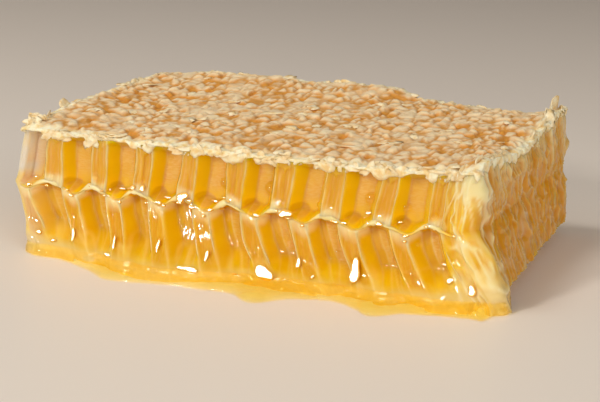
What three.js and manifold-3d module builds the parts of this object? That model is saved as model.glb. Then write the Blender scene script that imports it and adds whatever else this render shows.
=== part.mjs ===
// A cut piece of comb honey, lying flat. Millimetres, +Z up, +X along the long front cut, +Y to the back.
// From the floor up it is: the lower wax cappings, the lower tier of honey-filled cells with the honey that
// has run out at its foot, the zigzag midrib with the cell walls that the knife left standing on both sides
// of it, the upper tier of honey-filled cells, and the upper wax cappings with one low bump over each cell.
// Each piece is first laid out as a straight block on a hexagonal lattice, in u, v, z, and is then bent into
// place by bend(), so that everything leans, sags and flares together.
import * as THREE from "three";
import { mergeVertices } from "three/addons/utils/BufferGeometryUtils.js";
import Module from "manifold-3d";

const wasm = await Module();
wasm.setup();

// The block, before it is bent.
const LENGTH = 90;
const WIDTH = 51.6;
const BASE_CAPPING = 0.9;
const MIDRIB_Z = 10.6;
const CELLS_TOP = 20.4;
const CAP_THICKNESS = 0.7;
const CAP_RISE = 0.9;
const GAP = 0.3;

// The lattice. A cell's points face along X, so a long cut shows wide cells and narrow strips by turns.
const CELL = 5.4;
const SIDE = CELL / Math.sqrt(3);
const COLUMN_PITCH = 1.5 * SIDE;
const PERIOD = 3 * SIDE;
const ROW_PITCH = CELL / 2;
const FIRST_COLUMN = -43.2;
const CUT_TO_CENTRE = 0.2;
const FIRST_ROW = -WIDTH / 2 + CUT_TO_CENTRE;
const LAST_ROW = WIDTH / 2 - CUT_TO_CENTRE / 2;
const CELL_BASE_DEPTH = SIDE / (2 * Math.SQRT2);
const COLUMNS = Math.ceil(LENGTH / SIDE) + 2;

// The upper cappings: how far each bump wanders, how unlike the bumps and the dips between them are, and
// how far the edge wanders out past the cut.
const BUMP_WANDER = 0.5;
const BUMP_LEAST = 0.75;
const BUMP_VARIES = 0.5;
const DIP_VARIES = 0.35;
const EDGE_LEAST = 0.15;
const EDGE_VARIES = 0.75;

// Wax that stands at the cut sides.
const MIDRIB_THICKNESS = 0.9;
const WALL = 0.6;
const WALL_DEPTH = 0.7;
const WALL_PROUD = 0.15;
const MIDRIB_PROUD = 0.35;
const STRIP_START = 0.3;
const END_WALL_START = -0.3;
const HONEY_RECESS = WALL_DEPTH - WALL_PROUD + GAP;

// How the block is bent. The lean is the slope of the cells; the other values are in millimetres.
const UPPER_LEAN_LEFT = 0.09;
const UPPER_LEAN_RIGHT = 0.18;
const LOWER_LEAN = 0.27;
const LEAN_CURVE = 0.45;
const FLAT_CENTRE = 4;
const FLAT_HALF = 18;
const RAISE = 1.6;
const LIFT_RIGHT = 1.2;
const DOME = 1;
const LEFT_SWELL = 2;
const RIGHT_SKEW = 3.4;
const RIGHT_TOP_IN = 2.2;
const RIGHT_FOOT_OUT = 3.5;
const END_ZONE = 10;
const BACK_BOW = 3.4;
const BACK_BOW_CENTRE = -8;
const BACK_BOW_HALF = 42;
const FLARE = 5.5;
const FLARE_CENTRE = -15;
const FLARE_SPREAD = 14;
const FLARE_LEAST = 2.6;
const FLARE_FADE = 16;

// The honey run out at the foot of the front.
const FOOT_FROM = -30;
const FOOT_TO = 46;
const FOOT_HEIGHT = 3.4;
const FOOT_EDGE = 0.8;
const FOOT_BACK = 3;
const FOOT_LEAST = 1.4;
const FOOT_END = 6;
const FOOT_CROWD = 1.4;
const FOOT_LIP = 0.1;
const FOOT_RUNS = [
  { at: -19, reach: 11.2, spread: 8 },
  { at: -5, reach: 8.2, spread: 9 },
  { at: 4, reach: 5, spread: 7 },
  { at: 9.5, reach: 11.4, spread: 3.4 },
  { at: 27, reach: 6.5, spread: 5 },
  { at: 30.5, reach: 8, spread: 2.8 },
];

// Wax flakes that the knife pulled up on the right end, as place, size and lean.
const FLAKES = [
  { u: 43.2, v: 23.9, wide: 3.4, high: 3.6, lean: 0.5 },
  { u: 44.4, v: 15.8, wide: 3.0, high: 1.7, lean: 0.9 },
  { u: 44.2, v: 5.9, wide: 4.4, high: 1.5, lean: 0.7 },
  { u: 43.8, v: -14.0, wide: 5.0, high: 1.4, lean: 0.6 },
  { u: 41.5, v: -23.5, wide: 4.2, high: 1.0, lean: 0.4 },
];
const FLAKE_THICKNESS = 0.9;
const FLAKE_SUNK = 1.2;
const FLAKE_THINS = 0.7;
const FLAKE_NARROWS = 0.45;
const FLAKE_WAVE = 0.3;

const WAX = { color: 0xf0dcae, roughness: 0.6, metalness: 0 };
const CLEAN_WAX = { color: 0xf3d98c, roughness: 0.45, metalness: 0 };
const HONEY = { color: 0xe3a010, roughness: 0.12, metalness: 0 };

// A small seeded generator, so that the unevenness is the same each time.
function seeded(seed) {
  let state = seed;
  return () => {
    state = (state + 0x6d2b79f5) | 0;
    let mixed = Math.imul(state ^ (state >>> 15), 1 | state);
    mixed = (mixed + Math.imul(mixed ^ (mixed >>> 7), 61 | mixed)) ^ mixed;
    return ((mixed ^ (mixed >>> 14)) >>> 0) / 4294967296;
  };
}

const bell = (distance, spread) => Math.exp(-((distance / spread) ** 2));

// How far in from the front cut v is, as a share of the width.
const inwards = (v) => THREE.MathUtils.clamp(v / WIDTH + 0.5, 0, 1);

// How near u is to an end: 0 up to the end zone, 1 at the cut.
const nearLeft = (u) => THREE.MathUtils.smoothstep(-u, LENGTH / 2 - END_ZONE, LENGTH / 2);
const nearRight = (u) => THREE.MathUtils.smoothstep(u, LENGTH / 2 - END_ZONE, LENGTH / 2);

// How far off the flat middle u is, from 0 there to 1 at the ends.
function endCurl(u) {
  const off = Math.abs(u - FLAT_CENTRE) - FLAT_HALF;
  const room = LENGTH / 2 - FLAT_HALF - FLAT_CENTRE * Math.sign(u - FLAT_CENTRE);
  return off > 0 ? (off / room) ** 2 : 0;
}

// How far the foot of the lower tier has slumped out at the front.
function flareAt(u, v) {
  const along = FLARE_LEAST * (1 - nearRight(u)) + FLARE * bell(u - FLARE_CENTRE, FLARE_SPREAD);
  const inward = Math.min(1, (inwards(v) * WIDTH) / FLARE_FADE);
  return along * (1 - inward) ** 2;
}

// How far the back cut bows out in its middle.
function bowAt(u, v) {
  const along = Math.max(0, 1 - ((u - BACK_BOW_CENTRE) / BACK_BOW_HALF) ** 2);
  return BACK_BOW * along * inwards(v) ** 2;
}

// Carries a point of the straight block to its place in the bent piece. The cells of both tiers lean to +X
// away from the midrib, the lower ones more and more. The left end broke along its cells and bulges at the
// midrib. The right end was cut askew: in at the back, and from in at the top to out at the foot in front.
function bend(u, v, z) {
  const above = Math.max(0, z - MIDRIB_Z);
  const below = Math.max(0, MIDRIB_Z - z);
  const depth = below / MIDRIB_Z;
  const front = 1 - inwards(v);
  const upperLean = THREE.MathUtils.mapLinear(u, -LENGTH / 2, LENGTH / 2, UPPER_LEAN_LEFT, UPPER_LEAN_RIGHT);
  const lean = upperLean * above + LOWER_LEAN * below * (1 - LEAN_CURVE + LEAN_CURVE * depth);
  const swell = LEFT_SWELL * nearLeft(u) * Math.max(0, 1 - (above + below) / MIDRIB_Z);
  const skew = RIGHT_SKEW * (1 - front) * THREE.MathUtils.smoothstep(u, 0, LENGTH / 2);
  const cut = (RIGHT_FOOT_OUT * depth - RIGHT_TOP_IN) * nearRight(u) * front;
  const curl = endCurl(u);
  const raise = RAISE * (1 - depth + depth * curl) + (u > FLAT_CENTRE ? LIFT_RIGHT * curl : 0);
  const dome = DOME * (z / CELLS_TOP) * Math.max(0, 1 - ((2 * u) / LENGTH) ** 2) * (1 - front);
  const y = v - flareAt(u, v) * depth ** 1.5 + bowAt(u, v);
  return new THREE.Vector3(u + lean - swell - skew + cut, y, z + raise + dome);
}

// Three.js geometry as a manifold solid, each vertex first carried by place(u, v, z).
function solid(geometry, place) {
  const plain = new THREE.BufferGeometry();
  plain.setAttribute("position", geometry.getAttribute("position"));
  if (geometry.index) plain.setIndex(geometry.index);
  const merged = mergeVertices(plain, 1e-4);
  const position = merged.getAttribute("position");
  const vertProperties = new Float32Array(position.count * 3);
  for (let i = 0; i < position.count; i++) {
    place(position.getX(i), position.getY(i), position.getZ(i)).toArray(vertProperties, 3 * i);
  }
  const triVerts = new Uint32Array(merged.index.array);
  return new wasm.Manifold(new wasm.Mesh({ numProp: 3, vertProperties, triVerts }));
}

// A straight block from low to high in u, v, z, cut into segments along each and bent.
function block(low, high, segments) {
  const size = high.map((value, i) => value - low[i]);
  const middle = high.map((value, i) => (value + low[i]) / 2);
  const box = new THREE.BoxGeometry(...size, ...segments).translate(...middle);
  return solid(box, bend);
}

const joined = (solids) => solids.reduce((whole, piece) => whole.add(piece));
const cutBy = (whole, pieces) => pieces.reduce((rest, piece) => rest.subtract(piece), whole);

// Centres, along u, of the cells that a long cut passes through the middle of. The cells of the lower tier
// lie one side length further along, and the back cut meets the columns between those of the front.
function wideCells(shift, atBack) {
  const first = FIRST_COLUMN + shift + (atBack ? COLUMN_PITCH : 0);
  const centres = [];
  for (let u = first - PERIOD; u < LENGTH / 2 + PERIOD; u += PERIOD) centres.push(u);
  return centres;
}

// Centres, along v, of the cells that an end cut passes through.
function endCells(offset) {
  const centres = [];
  for (let v = FIRST_ROW + offset; v < WIDTH / 2 + CELL; v += CELL) centres.push(v);
  return centres;
}

// The inside of one cell from z low to high, as a bent hexagonal prism.
function cellPrism(u, v, low, high, steps) {
  const radius = SIDE - WALL / Math.sqrt(3);
  const prism = new THREE.CylinderGeometry(radius, radius, high - low, 6, steps);
  prism.rotateY(Math.PI / 6).rotateX(Math.PI / 2);
  prism.translate(u, v, (low + high) / 2);
  return solid(prism, bend);
}

// The cells that the knife opened, emptied of their honey: one row along each long cut, one up each end.
function openedCells(shift, low, high, steps) {
  const alongCut = (u) => Math.abs(u) < LENGTH / 2 + SIDE;
  const alongEnd = (v) => Math.abs(v) < WIDTH / 2 - ROW_PITCH / 2;
  const end = LENGTH / 2 + SIDE / 3;
  const front = wideCells(shift, false).filter(alongCut).map((u) => [u, FIRST_ROW]);
  const back = wideCells(shift, true).filter(alongCut).map((u) => [u, LAST_ROW]);
  const left = endCells(0).filter(alongEnd).map((v) => [-end, v]);
  const right = endCells(ROW_PITCH).filter(alongEnd).map((v) => [end, v]);
  return [...front, ...back, ...left, ...right].map(([u, v]) => cellPrism(u, v, low, high, steps));
}

// All the wax that stands at the four cut sides between the midrib and z = to, up (1) or down (-1).
function standingWax(shift, up, to, steps) {
  const pieces = [];
  const halfOpen = SIDE - CUT_TO_CENTRE / Math.sqrt(3) - WALL / 2;
  const stand = (start, [lowU, lowV], [highU, highV]) => {
    const [low, high] = [MIDRIB_Z + up * start, to].sort((a, b) => a - b);
    pieces.push(block([lowU, lowV, low], [highU, highV, high], [1, 1, steps]));
  };
  const depthAt = (side, half) => {
    const face = side * (half + WALL_PROUD);
    return [face, face - side * WALL_DEPTH].sort((a, b) => a - b);
  };
  for (const side of [-1, 1]) {
    const [near, far] = depthAt(side, WIDTH / 2);
    const centres = wideCells(shift, side > 0);
    centres.slice(1).forEach((u, i) => {
      const left = Math.max(centres[i] + halfOpen, -LENGTH / 2 + WALL);
      const right = Math.min(u - halfOpen, LENGTH / 2 - WALL);
      if (right - left > WALL) stand(STRIP_START, [left, near], [right, far]);
    });
  }
  for (const side of [-1, 1]) {
    const [near, far] = depthAt(side, LENGTH / 2);
    const walls = endCells(side < 0 ? ROW_PITCH : 0).filter((v) => Math.abs(v) < WIDTH / 2 - ROW_PITCH / 2);
    for (const v of walls) stand(END_WALL_START, [near, v - WALL / 2], [far, v + WALL / 2]);
  }
  return pieces;
}

// The midrib: the two tiers' cell bases back to back. Along both long cuts it dips under each upper cell
// and rises over each lower one. In between, where nothing shows, it is flat. It stands a little further
// out than the walls, and further again by the margin.
function midrib(thickness, margin) {
  const end = LENGTH / 2 + MIDRIB_PROUD + margin;
  const side = WIDTH / 2 + MIDRIB_PROUD + margin;
  const rows = [-side, FIRST_ROW, FIRST_ROW + CELL, LAST_ROW - CELL, LAST_ROW, side];
  const heights = [-CELL_BASE_DEPTH, CELL_BASE_DEPTH, 0];
  const inside = LENGTH / 2 - WALL_PROUD;
  const last = COLUMNS - 1;
  const points = latticePoints(COLUMNS, rows.length, (i, j) => {
    const column = THREE.MathUtils.clamp(i, 1, last - 1);
    const atBack = j > 2 ? 1 : 0;
    const onLattice = FIRST_COLUMN + SIDE * (column - 1 + atBack / 2);
    const u = i % last ? THREE.MathUtils.clamp(onLattice, -inside, inside) : Math.sign(i - 1) * end;
    const rise = j === 2 || j === 3 ? 0 : heights[(column + 2 - atBack) % 3];
    return [u, rows[j], MIDRIB_Z + rise];
  });
  const shifted = (by) => points.map(([u, v, z]) => [u, v, z + by]);
  return solid(closedSheet(shifted(thickness / 2), shifted(-thickness / 2), COLUMNS, () => false), bend);
}

// The wax of the midrib with the walls on both sides of it.
function waxComb() {
  const upper = standingWax(0, 1, CELLS_TOP - GAP, 1);
  const lower = standingWax(SIDE, -1, FOOT_HEIGHT + GAP, 2);
  return joined([midrib(MIDRIB_THICKNESS, 0), ...upper, ...lower]);
}

// The honey-filled cells between z low and high, set back from the cut sides behind the standing wax.
function cellsBlock(low, high, steps) {
  const u = LENGTH / 2 - HONEY_RECESS;
  const v = WIDTH / 2 - HONEY_RECESS;
  return block([-u, -v, low], [u, v, high], [14, 3, steps]);
}

function upperHoney() {
  const whole = cellsBlock(MIDRIB_Z, CELLS_TOP, 1);
  const opened = openedCells(0, MIDRIB_Z, CELLS_TOP + GAP, 1);
  return largest(cutBy(whole, [...opened, midrib(MIDRIB_THICKNESS + 2 * GAP, CELL)]));
}

// The foot's two ends are round: 0 at the end, 1 from FOOT_END on.
function footEnd(u) {
  const inward = THREE.MathUtils.clamp(Math.min(u - FOOT_FROM, FOOT_TO - u) / FOOT_END, 0, 1);
  return Math.sqrt(inward * (2 - inward));
}

// The honey at the foot: a bank on the floor, thick against the cells, with a rounded edge.
function foot() {
  const box = new THREE.BoxGeometry(FOOT_TO - FOOT_FROM, 1, 1, 32, 4, 1);
  return solid(box, (along, across, up) => {
    const u = along + (FOOT_TO + FOOT_FROM) / 2;
    const out = 1 - (0.5 + across) ** FOOT_CROWD;
    const runs = FOOT_RUNS.map((run) => run.reach * bell(u - run.at, run.spread));
    const reach = FOOT_BACK + Math.hypot(FOOT_LEAST, ...runs);
    const bank = (FOOT_HEIGHT - FOOT_EDGE) * (1 - out) ** FOOT_CROWD;
    const height = (FOOT_EDGE + bank) * Math.sqrt(1 - (1 - FOOT_LIP) * out ** 8);
    const v = -WIDTH / 2 + (FOOT_BACK - reach * out) * Math.max(footEnd(u), FOOT_LIP);
    return new THREE.Vector3(u, v, up > 0 ? height : 0);
  });
}

function lowerHoney() {
  const low = BASE_CAPPING + GAP;
  const whole = cellsBlock(low, MIDRIB_Z, 3);
  const opened = openedCells(SIDE, 0, MIDRIB_Z, 2);
  const cells = cutBy(whole, [...opened, midrib(MIDRIB_THICKNESS + 2 * GAP, CELL)]);
  const base = baseCappings(GAP);
  return largest(largest(cells).add(foot().subtract(base)));
}

// The lower wax cappings, on which the piece rests.
function baseCappings(margin) {
  const u = LENGTH / 2 - WALL + margin;
  const v = WIDTH / 2 - WALL + margin;
  return block([-u, -v, -margin], [u, v, BASE_CAPPING + margin], [18, 4, 1]);
}

// A prism round the whole piece whose sides wander in and out, as a knife leaves the cappings.
function raggedPrism(low, high) {
  const random = seeded(11);
  const corners = [
    [-LENGTH / 2, -WIDTH / 2],
    [LENGTH / 2, -WIDTH / 2],
    [LENGTH / 2, WIDTH / 2],
    [-LENGTH / 2, WIDTH / 2],
  ];
  const points = corners.flatMap(([u, v], i) => {
    const [nextU, nextV] = corners[(i + 1) % 4];
    const length = Math.hypot(nextU - u, nextV - v);
    const steps = Math.round(length / ROW_PITCH);
    return Array.from({ length: steps }, (_, k) => {
      const out = EDGE_LEAST + EDGE_VARIES * random();
      const along = (k + random() / 2) / steps;
      const normal = [(nextV - v) / length, (u - nextU) / length];
      return new THREE.Vector2(
        u + (nextU - u) * along + normal[0] * out,
        v + (nextV - v) * along + normal[1] * out,
      );
    });
  });
  const depth = high - low;
  const prism = new THREE.ExtrudeGeometry(new THREE.Shape(points), { depth, bevelEnabled: false });
  return solid(prism.translate(0, 0, low), bend);
}

// A block whose top is a triangle mesh on the lattice, with a bump of its own height over each cell. It
// reaches past the cappings on all sides.
function bumpyBlock(low, high) {
  const random = seeded(5);
  const columns = COLUMNS + 1;
  const rows = Math.ceil(WIDTH / ROW_PITCH) + 4;
  const points = latticePoints(columns, rows, (i, j) => {
    const odd = j & 1;
    const isCell = (i + 1 - odd) % 3 === 0;
    const u = FIRST_COLUMN + SIDE * (i - 2 + odd / 2) + BUMP_WANDER * (random() - 0.5);
    const v = FIRST_ROW + ROW_PITCH * (j - 2) + BUMP_WANDER * (random() - 0.5);
    const rise = CAP_RISE * (isCell ? BUMP_LEAST + BUMP_VARIES * random() : DIP_VARIES * random());
    return [u, v, high + rise];
  });
  const below = points.map(([u, v]) => [u, v, low]);
  return solid(closedSheet(points, below, columns, (j) => j & 1), bend);
}

// The points of a sheet, row after row, from point(i, j).
function latticePoints(columns, rows, point) {
  return Array.from({ length: rows * columns }, (_, k) => point(k % columns, Math.floor(k / columns)));
}

// A closed solid between two sheets of points, both split into triangles alike. Where turned(j) is true, a
// row's squares are split along their other diagonal.
function closedSheet(above, below, columns, turned) {
  const count = above.length;
  const rows = count / columns;
  const faces = [];
  for (let j = 0; j + 1 < rows; j++) {
    for (let i = 0; i + 1 < columns; i++) {
      const a = i + j * columns;
      const [b, c, d] = [a + 1, a + columns, a + columns + 1];
      if (turned(j)) faces.push([a, b, d], [a, d, c]);
      else faces.push([a, b, c], [b, d, c]);
    }
  }
  const rim = [];
  for (let i = 0; i < columns - 1; i++) rim.push(i);
  for (let j = 0; j < rows - 1; j++) rim.push(columns - 1 + j * columns);
  for (let i = columns - 1; i > 0; i--) rim.push(i + (rows - 1) * columns);
  for (let j = rows - 1; j > 0; j--) rim.push(j * columns);
  const sides = rim.flatMap((a, k) => {
    const b = rim[(k + 1) % rim.length];
    return [
      [b, a, a + count],
      [b, a + count, b + count],
    ];
  });
  const underside = faces.map(([a, b, c]) => [c + count, b + count, a + count]);
  const geometry = new THREE.BufferGeometry();
  geometry.setAttribute("position", new THREE.Float32BufferAttribute([...above, ...below].flat(), 3));
  geometry.setIndex([...faces, ...underside, ...sides].flat());
  return geometry;
}

// One flake of wax, standing on the cappings and thinning to its top.
function flake({ u, v, wide, high, lean }) {
  const box = new THREE.BoxGeometry(1, wide, 1, 1, 2, 2);
  return solid(box, (across, along, up) => {
    const rise = up + 0.5;
    const thickness = FLAKE_THICKNESS * (1 - FLAKE_THINS * rise);
    const z = CELLS_TOP + CAP_THICKNESS - FLAKE_SUNK + (high + FLAKE_SUNK) * rise;
    const wave = FLAKE_WAVE * Math.sin(2 * along + rise);
    return bend(u + lean * rise + wave + across * thickness, v + along * (1 - FLAKE_NARROWS * rise), z);
  });
}

function topCappings() {
  const bumps = bumpyBlock(MIDRIB_Z, CELLS_TOP + CAP_THICKNESS);
  const sheet = bumps.intersect(raggedPrism(MIDRIB_Z, CELLS_TOP + 4 * CAP_RISE));
  const under = block([-LENGTH, -WIDTH, MIDRIB_Z - 1], [LENGTH, WIDTH, CELLS_TOP + GAP], [36, 1, 1]);
  return largest(joined([sheet, ...FLAKES.map(flake)]).subtract(under));
}

// The largest body of a solid: scraps that the cuts leave are dropped.
function largest(whole) {
  return whole.decompose().sort((a, b) => b.volume() - a.volume())[0];
}

function node(name, made, look) {
  const { vertProperties, triVerts } = made.getMesh();
  const geometry = new THREE.BufferGeometry();
  geometry.setAttribute("position", new THREE.BufferAttribute(vertProperties, 3));
  geometry.setIndex(new THREE.BufferAttribute(triVerts, 1));
  geometry.computeVertexNormals();
  const mesh = new THREE.Mesh(geometry, new THREE.MeshStandardMaterial(look));
  mesh.name = name;
  return mesh;
}

const piece = new THREE.Group();
piece.add(
  node("top_cappings", topCappings(), WAX),
  node("upper_honey", upperHoney(), HONEY),
  node("wax_comb", waxComb(), CLEAN_WAX),
  node("lower_honey", lowerHoney(), HONEY),
  node("base_cappings", baseCappings(0), WAX),
);

// The origin is the middle of the underside of the box round the whole piece.
const bounds = new THREE.Box3().setFromObject(piece);
const middle = bounds.getCenter(new THREE.Vector3());
for (const mesh of piece.children) mesh.geometry.translate(-middle.x, -middle.y, -bounds.min.z);

export default piece;
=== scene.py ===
"""A cut piece of comb honey on a pale floor: two tiers of honey-filled cells on a wax midrib, between wax
cappings, with clear honey run out at its foot. Sizes are in millimetres until mesh_piece() makes metres."""

import math
from itertools import product

import bpy
import numpy as np
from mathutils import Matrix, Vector


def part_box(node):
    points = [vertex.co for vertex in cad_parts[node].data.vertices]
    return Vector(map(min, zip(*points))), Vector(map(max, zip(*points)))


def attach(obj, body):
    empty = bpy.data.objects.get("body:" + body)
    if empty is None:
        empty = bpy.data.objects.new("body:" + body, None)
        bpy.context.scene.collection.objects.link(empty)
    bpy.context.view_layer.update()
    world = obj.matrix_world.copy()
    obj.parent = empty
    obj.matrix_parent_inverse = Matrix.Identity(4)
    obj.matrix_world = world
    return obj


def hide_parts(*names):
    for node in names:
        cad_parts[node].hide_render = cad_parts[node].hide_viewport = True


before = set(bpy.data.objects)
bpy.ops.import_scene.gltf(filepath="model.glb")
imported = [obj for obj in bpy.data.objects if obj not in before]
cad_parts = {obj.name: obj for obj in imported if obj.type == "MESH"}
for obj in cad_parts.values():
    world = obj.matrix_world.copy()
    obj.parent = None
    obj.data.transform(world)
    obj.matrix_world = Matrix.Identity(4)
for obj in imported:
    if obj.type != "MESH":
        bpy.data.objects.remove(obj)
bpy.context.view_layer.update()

MM = 0.001

# The straight block and its lattice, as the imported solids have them.
LENGTH = 90.0
WIDTH = 51.6
BASE_CAPPING = 0.9
MIDRIB_Z = 10.6
CELLS_TOP = 20.4
CAP_THICKNESS = 0.7
CELL = 5.4
SIDE = CELL / math.sqrt(3)
COLUMN_PITCH = 1.5 * SIDE
PERIOD = 3 * SIDE
ROW_PITCH = CELL / 2
FIRST_COLUMN = -43.2
FIRST_ROW = -WIDTH / 2 + 0.2
CELL_BASE_DEPTH = SIDE / (2 * math.sqrt(2))
WALL = 0.6

# How the block is bent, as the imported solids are.
UPPER_LEAN_LEFT = 0.09
UPPER_LEAN_RIGHT = 0.18
LOWER_LEAN = 0.27
LEAN_CURVE = 0.45
FLAT_CENTRE = 4
FLAT_HALF = 18
RAISE = 1.6
LIFT_RIGHT = 1.2
DOME = 1
LEFT_SWELL = 2
RIGHT_SKEW = 3.4
RIGHT_TOP_IN = 2.2
RIGHT_FOOT_OUT = 3.5
END_ZONE = 10
BACK_BOW = 3.4
BACK_BOW_CENTRE = -8
BACK_BOW_HALF = 42
FLARE = 5.5
FLARE_CENTRE = -15
FLARE_SPREAD = 14
FLARE_LEAST = 2.6
FLARE_FADE = 16

# The honey run out at the foot of the front.
FOOT_HEIGHT = 2.2
FOOT_EDGE = 1.15
FOOT_CROWD = 2.0
FOOT_LIP = 0.1
FOOT_LEAST_OUT = 0.5
FOOT_OUTLINE = [
    (-34, 4.0), (-27.5, 6.5), (-21, 11.3), (-16, 10.9), (-11, 9.6), (-4, 9.1), (3, 8.7), (7, 11.2),
    (9.3, 12.6), (11.4, 10.3), (13.5, 7.2), (20, 5.0), (26.5, 7.6), (29.5, 10.4), (31, 10.6), (33, 6.5),
    (38, 5.6), (44, 4.0),
]

# The camera, found from the corners of the piece.
AZIMUTH = 0.43949
ELEVATION = 0.26252
DISTANCE = 342.86
LENS = 109.32
SENSOR = 36
TARGET = (0.05, 0.0, 7.485)


def unit(x):
    """x, kept from 0 to 1."""
    return np.clip(x, 0, 1)


def smoothstep(x, low, high):
    t = unit((x - low) / (high - low))
    return t * t * (3 - 2 * t)


def within(x, rise, fall):
    """1 between two places and 0 outside them, over the range where it rises and that where it falls."""
    return smoothstep(x, *rise) * (1 - smoothstep(x, *fall))


def bell(distance, spread):
    return np.exp(-((distance / spread) ** 2))


def near(x, spot):
    """How near x is to a spot, given as its place and spread: 1 at its place, falling off to 0."""
    return bell(x - spot[0], spot[1])


def soft_min(a, b, k):
    h = unit(0.5 + 0.5 * (b - a) / k)
    return b + (a - b) * h - k * h * (1 - h)


def soft_max(a, b, k):
    return -soft_min(-a, -b, k)


def inwards(v):
    """How far v lies from the front to the back, from 0 to 1."""
    return unit(v / WIDTH + 0.5)


def end_curl(u):
    """How far u lies out into the ends, which curl up: 0 over the flat middle and 1 at the end."""
    off = np.abs(u - FLAT_CENTRE) - FLAT_HALF
    room = LENGTH / 2 - FLAT_HALF - FLAT_CENTRE * np.sign(u - FLAT_CENTRE)
    return np.where(off > 0, (off / room) ** 2, 0)


def flare_at(u, v):
    """How far the foot of the front is spread outwards."""
    near_right = smoothstep(u, LENGTH / 2 - END_ZONE, LENGTH / 2)
    along = FLARE_LEAST * (1 - near_right) + FLARE * bell(u - FLARE_CENTRE, FLARE_SPREAD)
    return along * (1 - np.minimum(1, inwards(v) * WIDTH / FLARE_FADE)) ** 2


def bow_at(u, v):
    """How far the back is bowed outwards."""
    along = np.maximum(0, 1 - ((u - BACK_BOW_CENTRE) / BACK_BOW_HALF) ** 2)
    return BACK_BOW * along * inwards(v) ** 2


def bend(u, v, z):
    """Carries points of the straight block to their places in the bent piece, as an array (..., 3)."""
    u, v, z = np.broadcast_arrays(u, v, z)
    above = np.maximum(0, z - MIDRIB_Z)
    below = np.maximum(0, MIDRIB_Z - z)
    depth = np.minimum(below / MIDRIB_Z, 1)
    front = 1 - inwards(v)
    near_left = smoothstep(-u, LENGTH / 2 - END_ZONE, LENGTH / 2)
    near_right = smoothstep(u, LENGTH / 2 - END_ZONE, LENGTH / 2)
    upper_lean = UPPER_LEAN_LEFT + (UPPER_LEAN_RIGHT - UPPER_LEAN_LEFT) * (u / LENGTH + 0.5)
    lean = upper_lean * above + LOWER_LEAN * below * (1 - LEAN_CURVE + LEAN_CURVE * depth)
    swell = LEFT_SWELL * near_left * np.maximum(0, 1 - (above + below) / MIDRIB_Z)
    skew = RIGHT_SKEW * (1 - front) * smoothstep(u, 0, LENGTH / 2)
    cut = (RIGHT_FOOT_OUT * depth - RIGHT_TOP_IN) * near_right * front
    curl = end_curl(u)
    rise = RAISE * (1 - depth + depth * curl) + np.where(u > FLAT_CENTRE, LIFT_RIGHT * curl, 0)
    dome = DOME * (z / CELLS_TOP) * np.maximum(0, 1 - (2 * u / LENGTH) ** 2) * (1 - front)
    x = u + lean - swell - skew + cut
    y = v - flare_at(u, v) * depth**1.5 + bow_at(u, v)
    return np.stack([x, y, z + rise + dome], axis=-1)


# How far the torn edges of the cappings stand above the bent block, along each side.
LEFT_TEAR = [(-25.8, 0.3), (-22.7, 0.9), (-18, 0.6), (-10.7, 1.6), (-2.1, 1.5), (17.8, 1.3), (25.8, 1.2)]
LEFT_TEAR_SPREAD = 8
BACK_TEAR = [
    (-45, 1.2), (-35, 1.6), (-26.8, 1.25), (-17.3, 1.1), (-11, 0.5), (-3, 1.2), (8, 1.1), (11, -0.5),
    (21.6, -0.7), (32, -0.6), (42.5, -0.8), (45, 0),
]
BACK_TEAR_SPREAD = 8
RIGHT_TEAR = [
    (-25.8, 0), (-22.7, 1.2), (-15, 0), (-6.2, -1.2), (1, -1.5), (11.3, 0), (17, 1.2), (25.8, 1.0),
]
RIGHT_TEAR_SPREAD = 4
TEAR_FROM = 14


def torn(u, v, z):
    """Carries points of the straight block to their places, with its torn upper edges."""
    u, v, z = np.broadcast_arrays(u, v, z)
    left = np.interp(v, *np.array(LEFT_TEAR).T) * bell(u + LENGTH / 2, LEFT_TEAR_SPREAD)
    back = np.interp(u, *np.array(BACK_TEAR).T) * bell(v - WIDTH / 2, BACK_TEAR_SPREAD)
    back = back * (1 - bell(u + LENGTH / 2, LEFT_TEAR_SPREAD))
    right = np.interp(v, *np.array(RIGHT_TEAR).T) * bell(u - LENGTH / 2, RIGHT_TEAR_SPREAD)
    points = bend(u, v, z)
    points[..., 2] += (left + back + right) * smoothstep(z, TEAR_FROM, CELLS_TOP)
    return points


def frame_origin():
    """The frame's origin in bent millimetres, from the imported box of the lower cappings."""
    u, v = np.meshgrid(np.linspace(-1, 1, 19) * (LENGTH / 2 - WALL), [-WIDTH / 2 + WALL, WIDTH / 2 - WALL])
    top = bend(u, v, BASE_CAPPING).reshape(-1, 3)
    sheet = np.concatenate([top, bend(u, v, 0).reshape(-1, 3)])
    packed = np.array(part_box("base_cappings")[1]) / MM
    return np.array([sheet[:, 0].max() - packed[0], sheet[:, 1].max() - packed[1], 0])


ORIGIN = frame_origin()


def hashed(corner):
    """A number from 0 to 1 for each whole-numbered corner (..., 2 or 3)."""
    n = corner @ np.array([374761393, 668265263, 2246822519])[: corner.shape[-1]]
    n = (n ^ (n >> 13)) * 1274126177 & 0xFFFFFFFF
    return (n ^ (n >> 16)) / 2**32


def noise(points, size, seed):
    """Smooth noise from -1 to 1 at points (..., 3); size is one length, or one along each axis."""
    at = np.asarray(points) / size + 31.7 * seed
    corner = np.floor(at)
    part = at - corner
    part = part * part * (3 - 2 * part)
    corner = corner.astype(np.int64)
    total = 0
    for step in np.ndindex(2, 2, 2):
        total = total + hashed(corner + step) * np.prod(np.where(step, part, 1 - part), axis=-1)
    return 2 * total - 1


def rough(points, size, seed, octaves=3):
    """Noise with finer and finer layers, each half as strong."""
    return sum(noise(points, np.asarray(size) / 2**k, seed + k) / 2**k for k in range(octaves))


def veins(points, size, seed, sharpness, level=1.0):
    """Lines that wander where noise passes through 0: up to level on them, and 0 away from them."""
    return unit(level - sharpness * np.abs(noise(points, size, seed)))


def flat_points(u, v):
    return np.stack([u, v, 0 * u], axis=-1)


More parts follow.
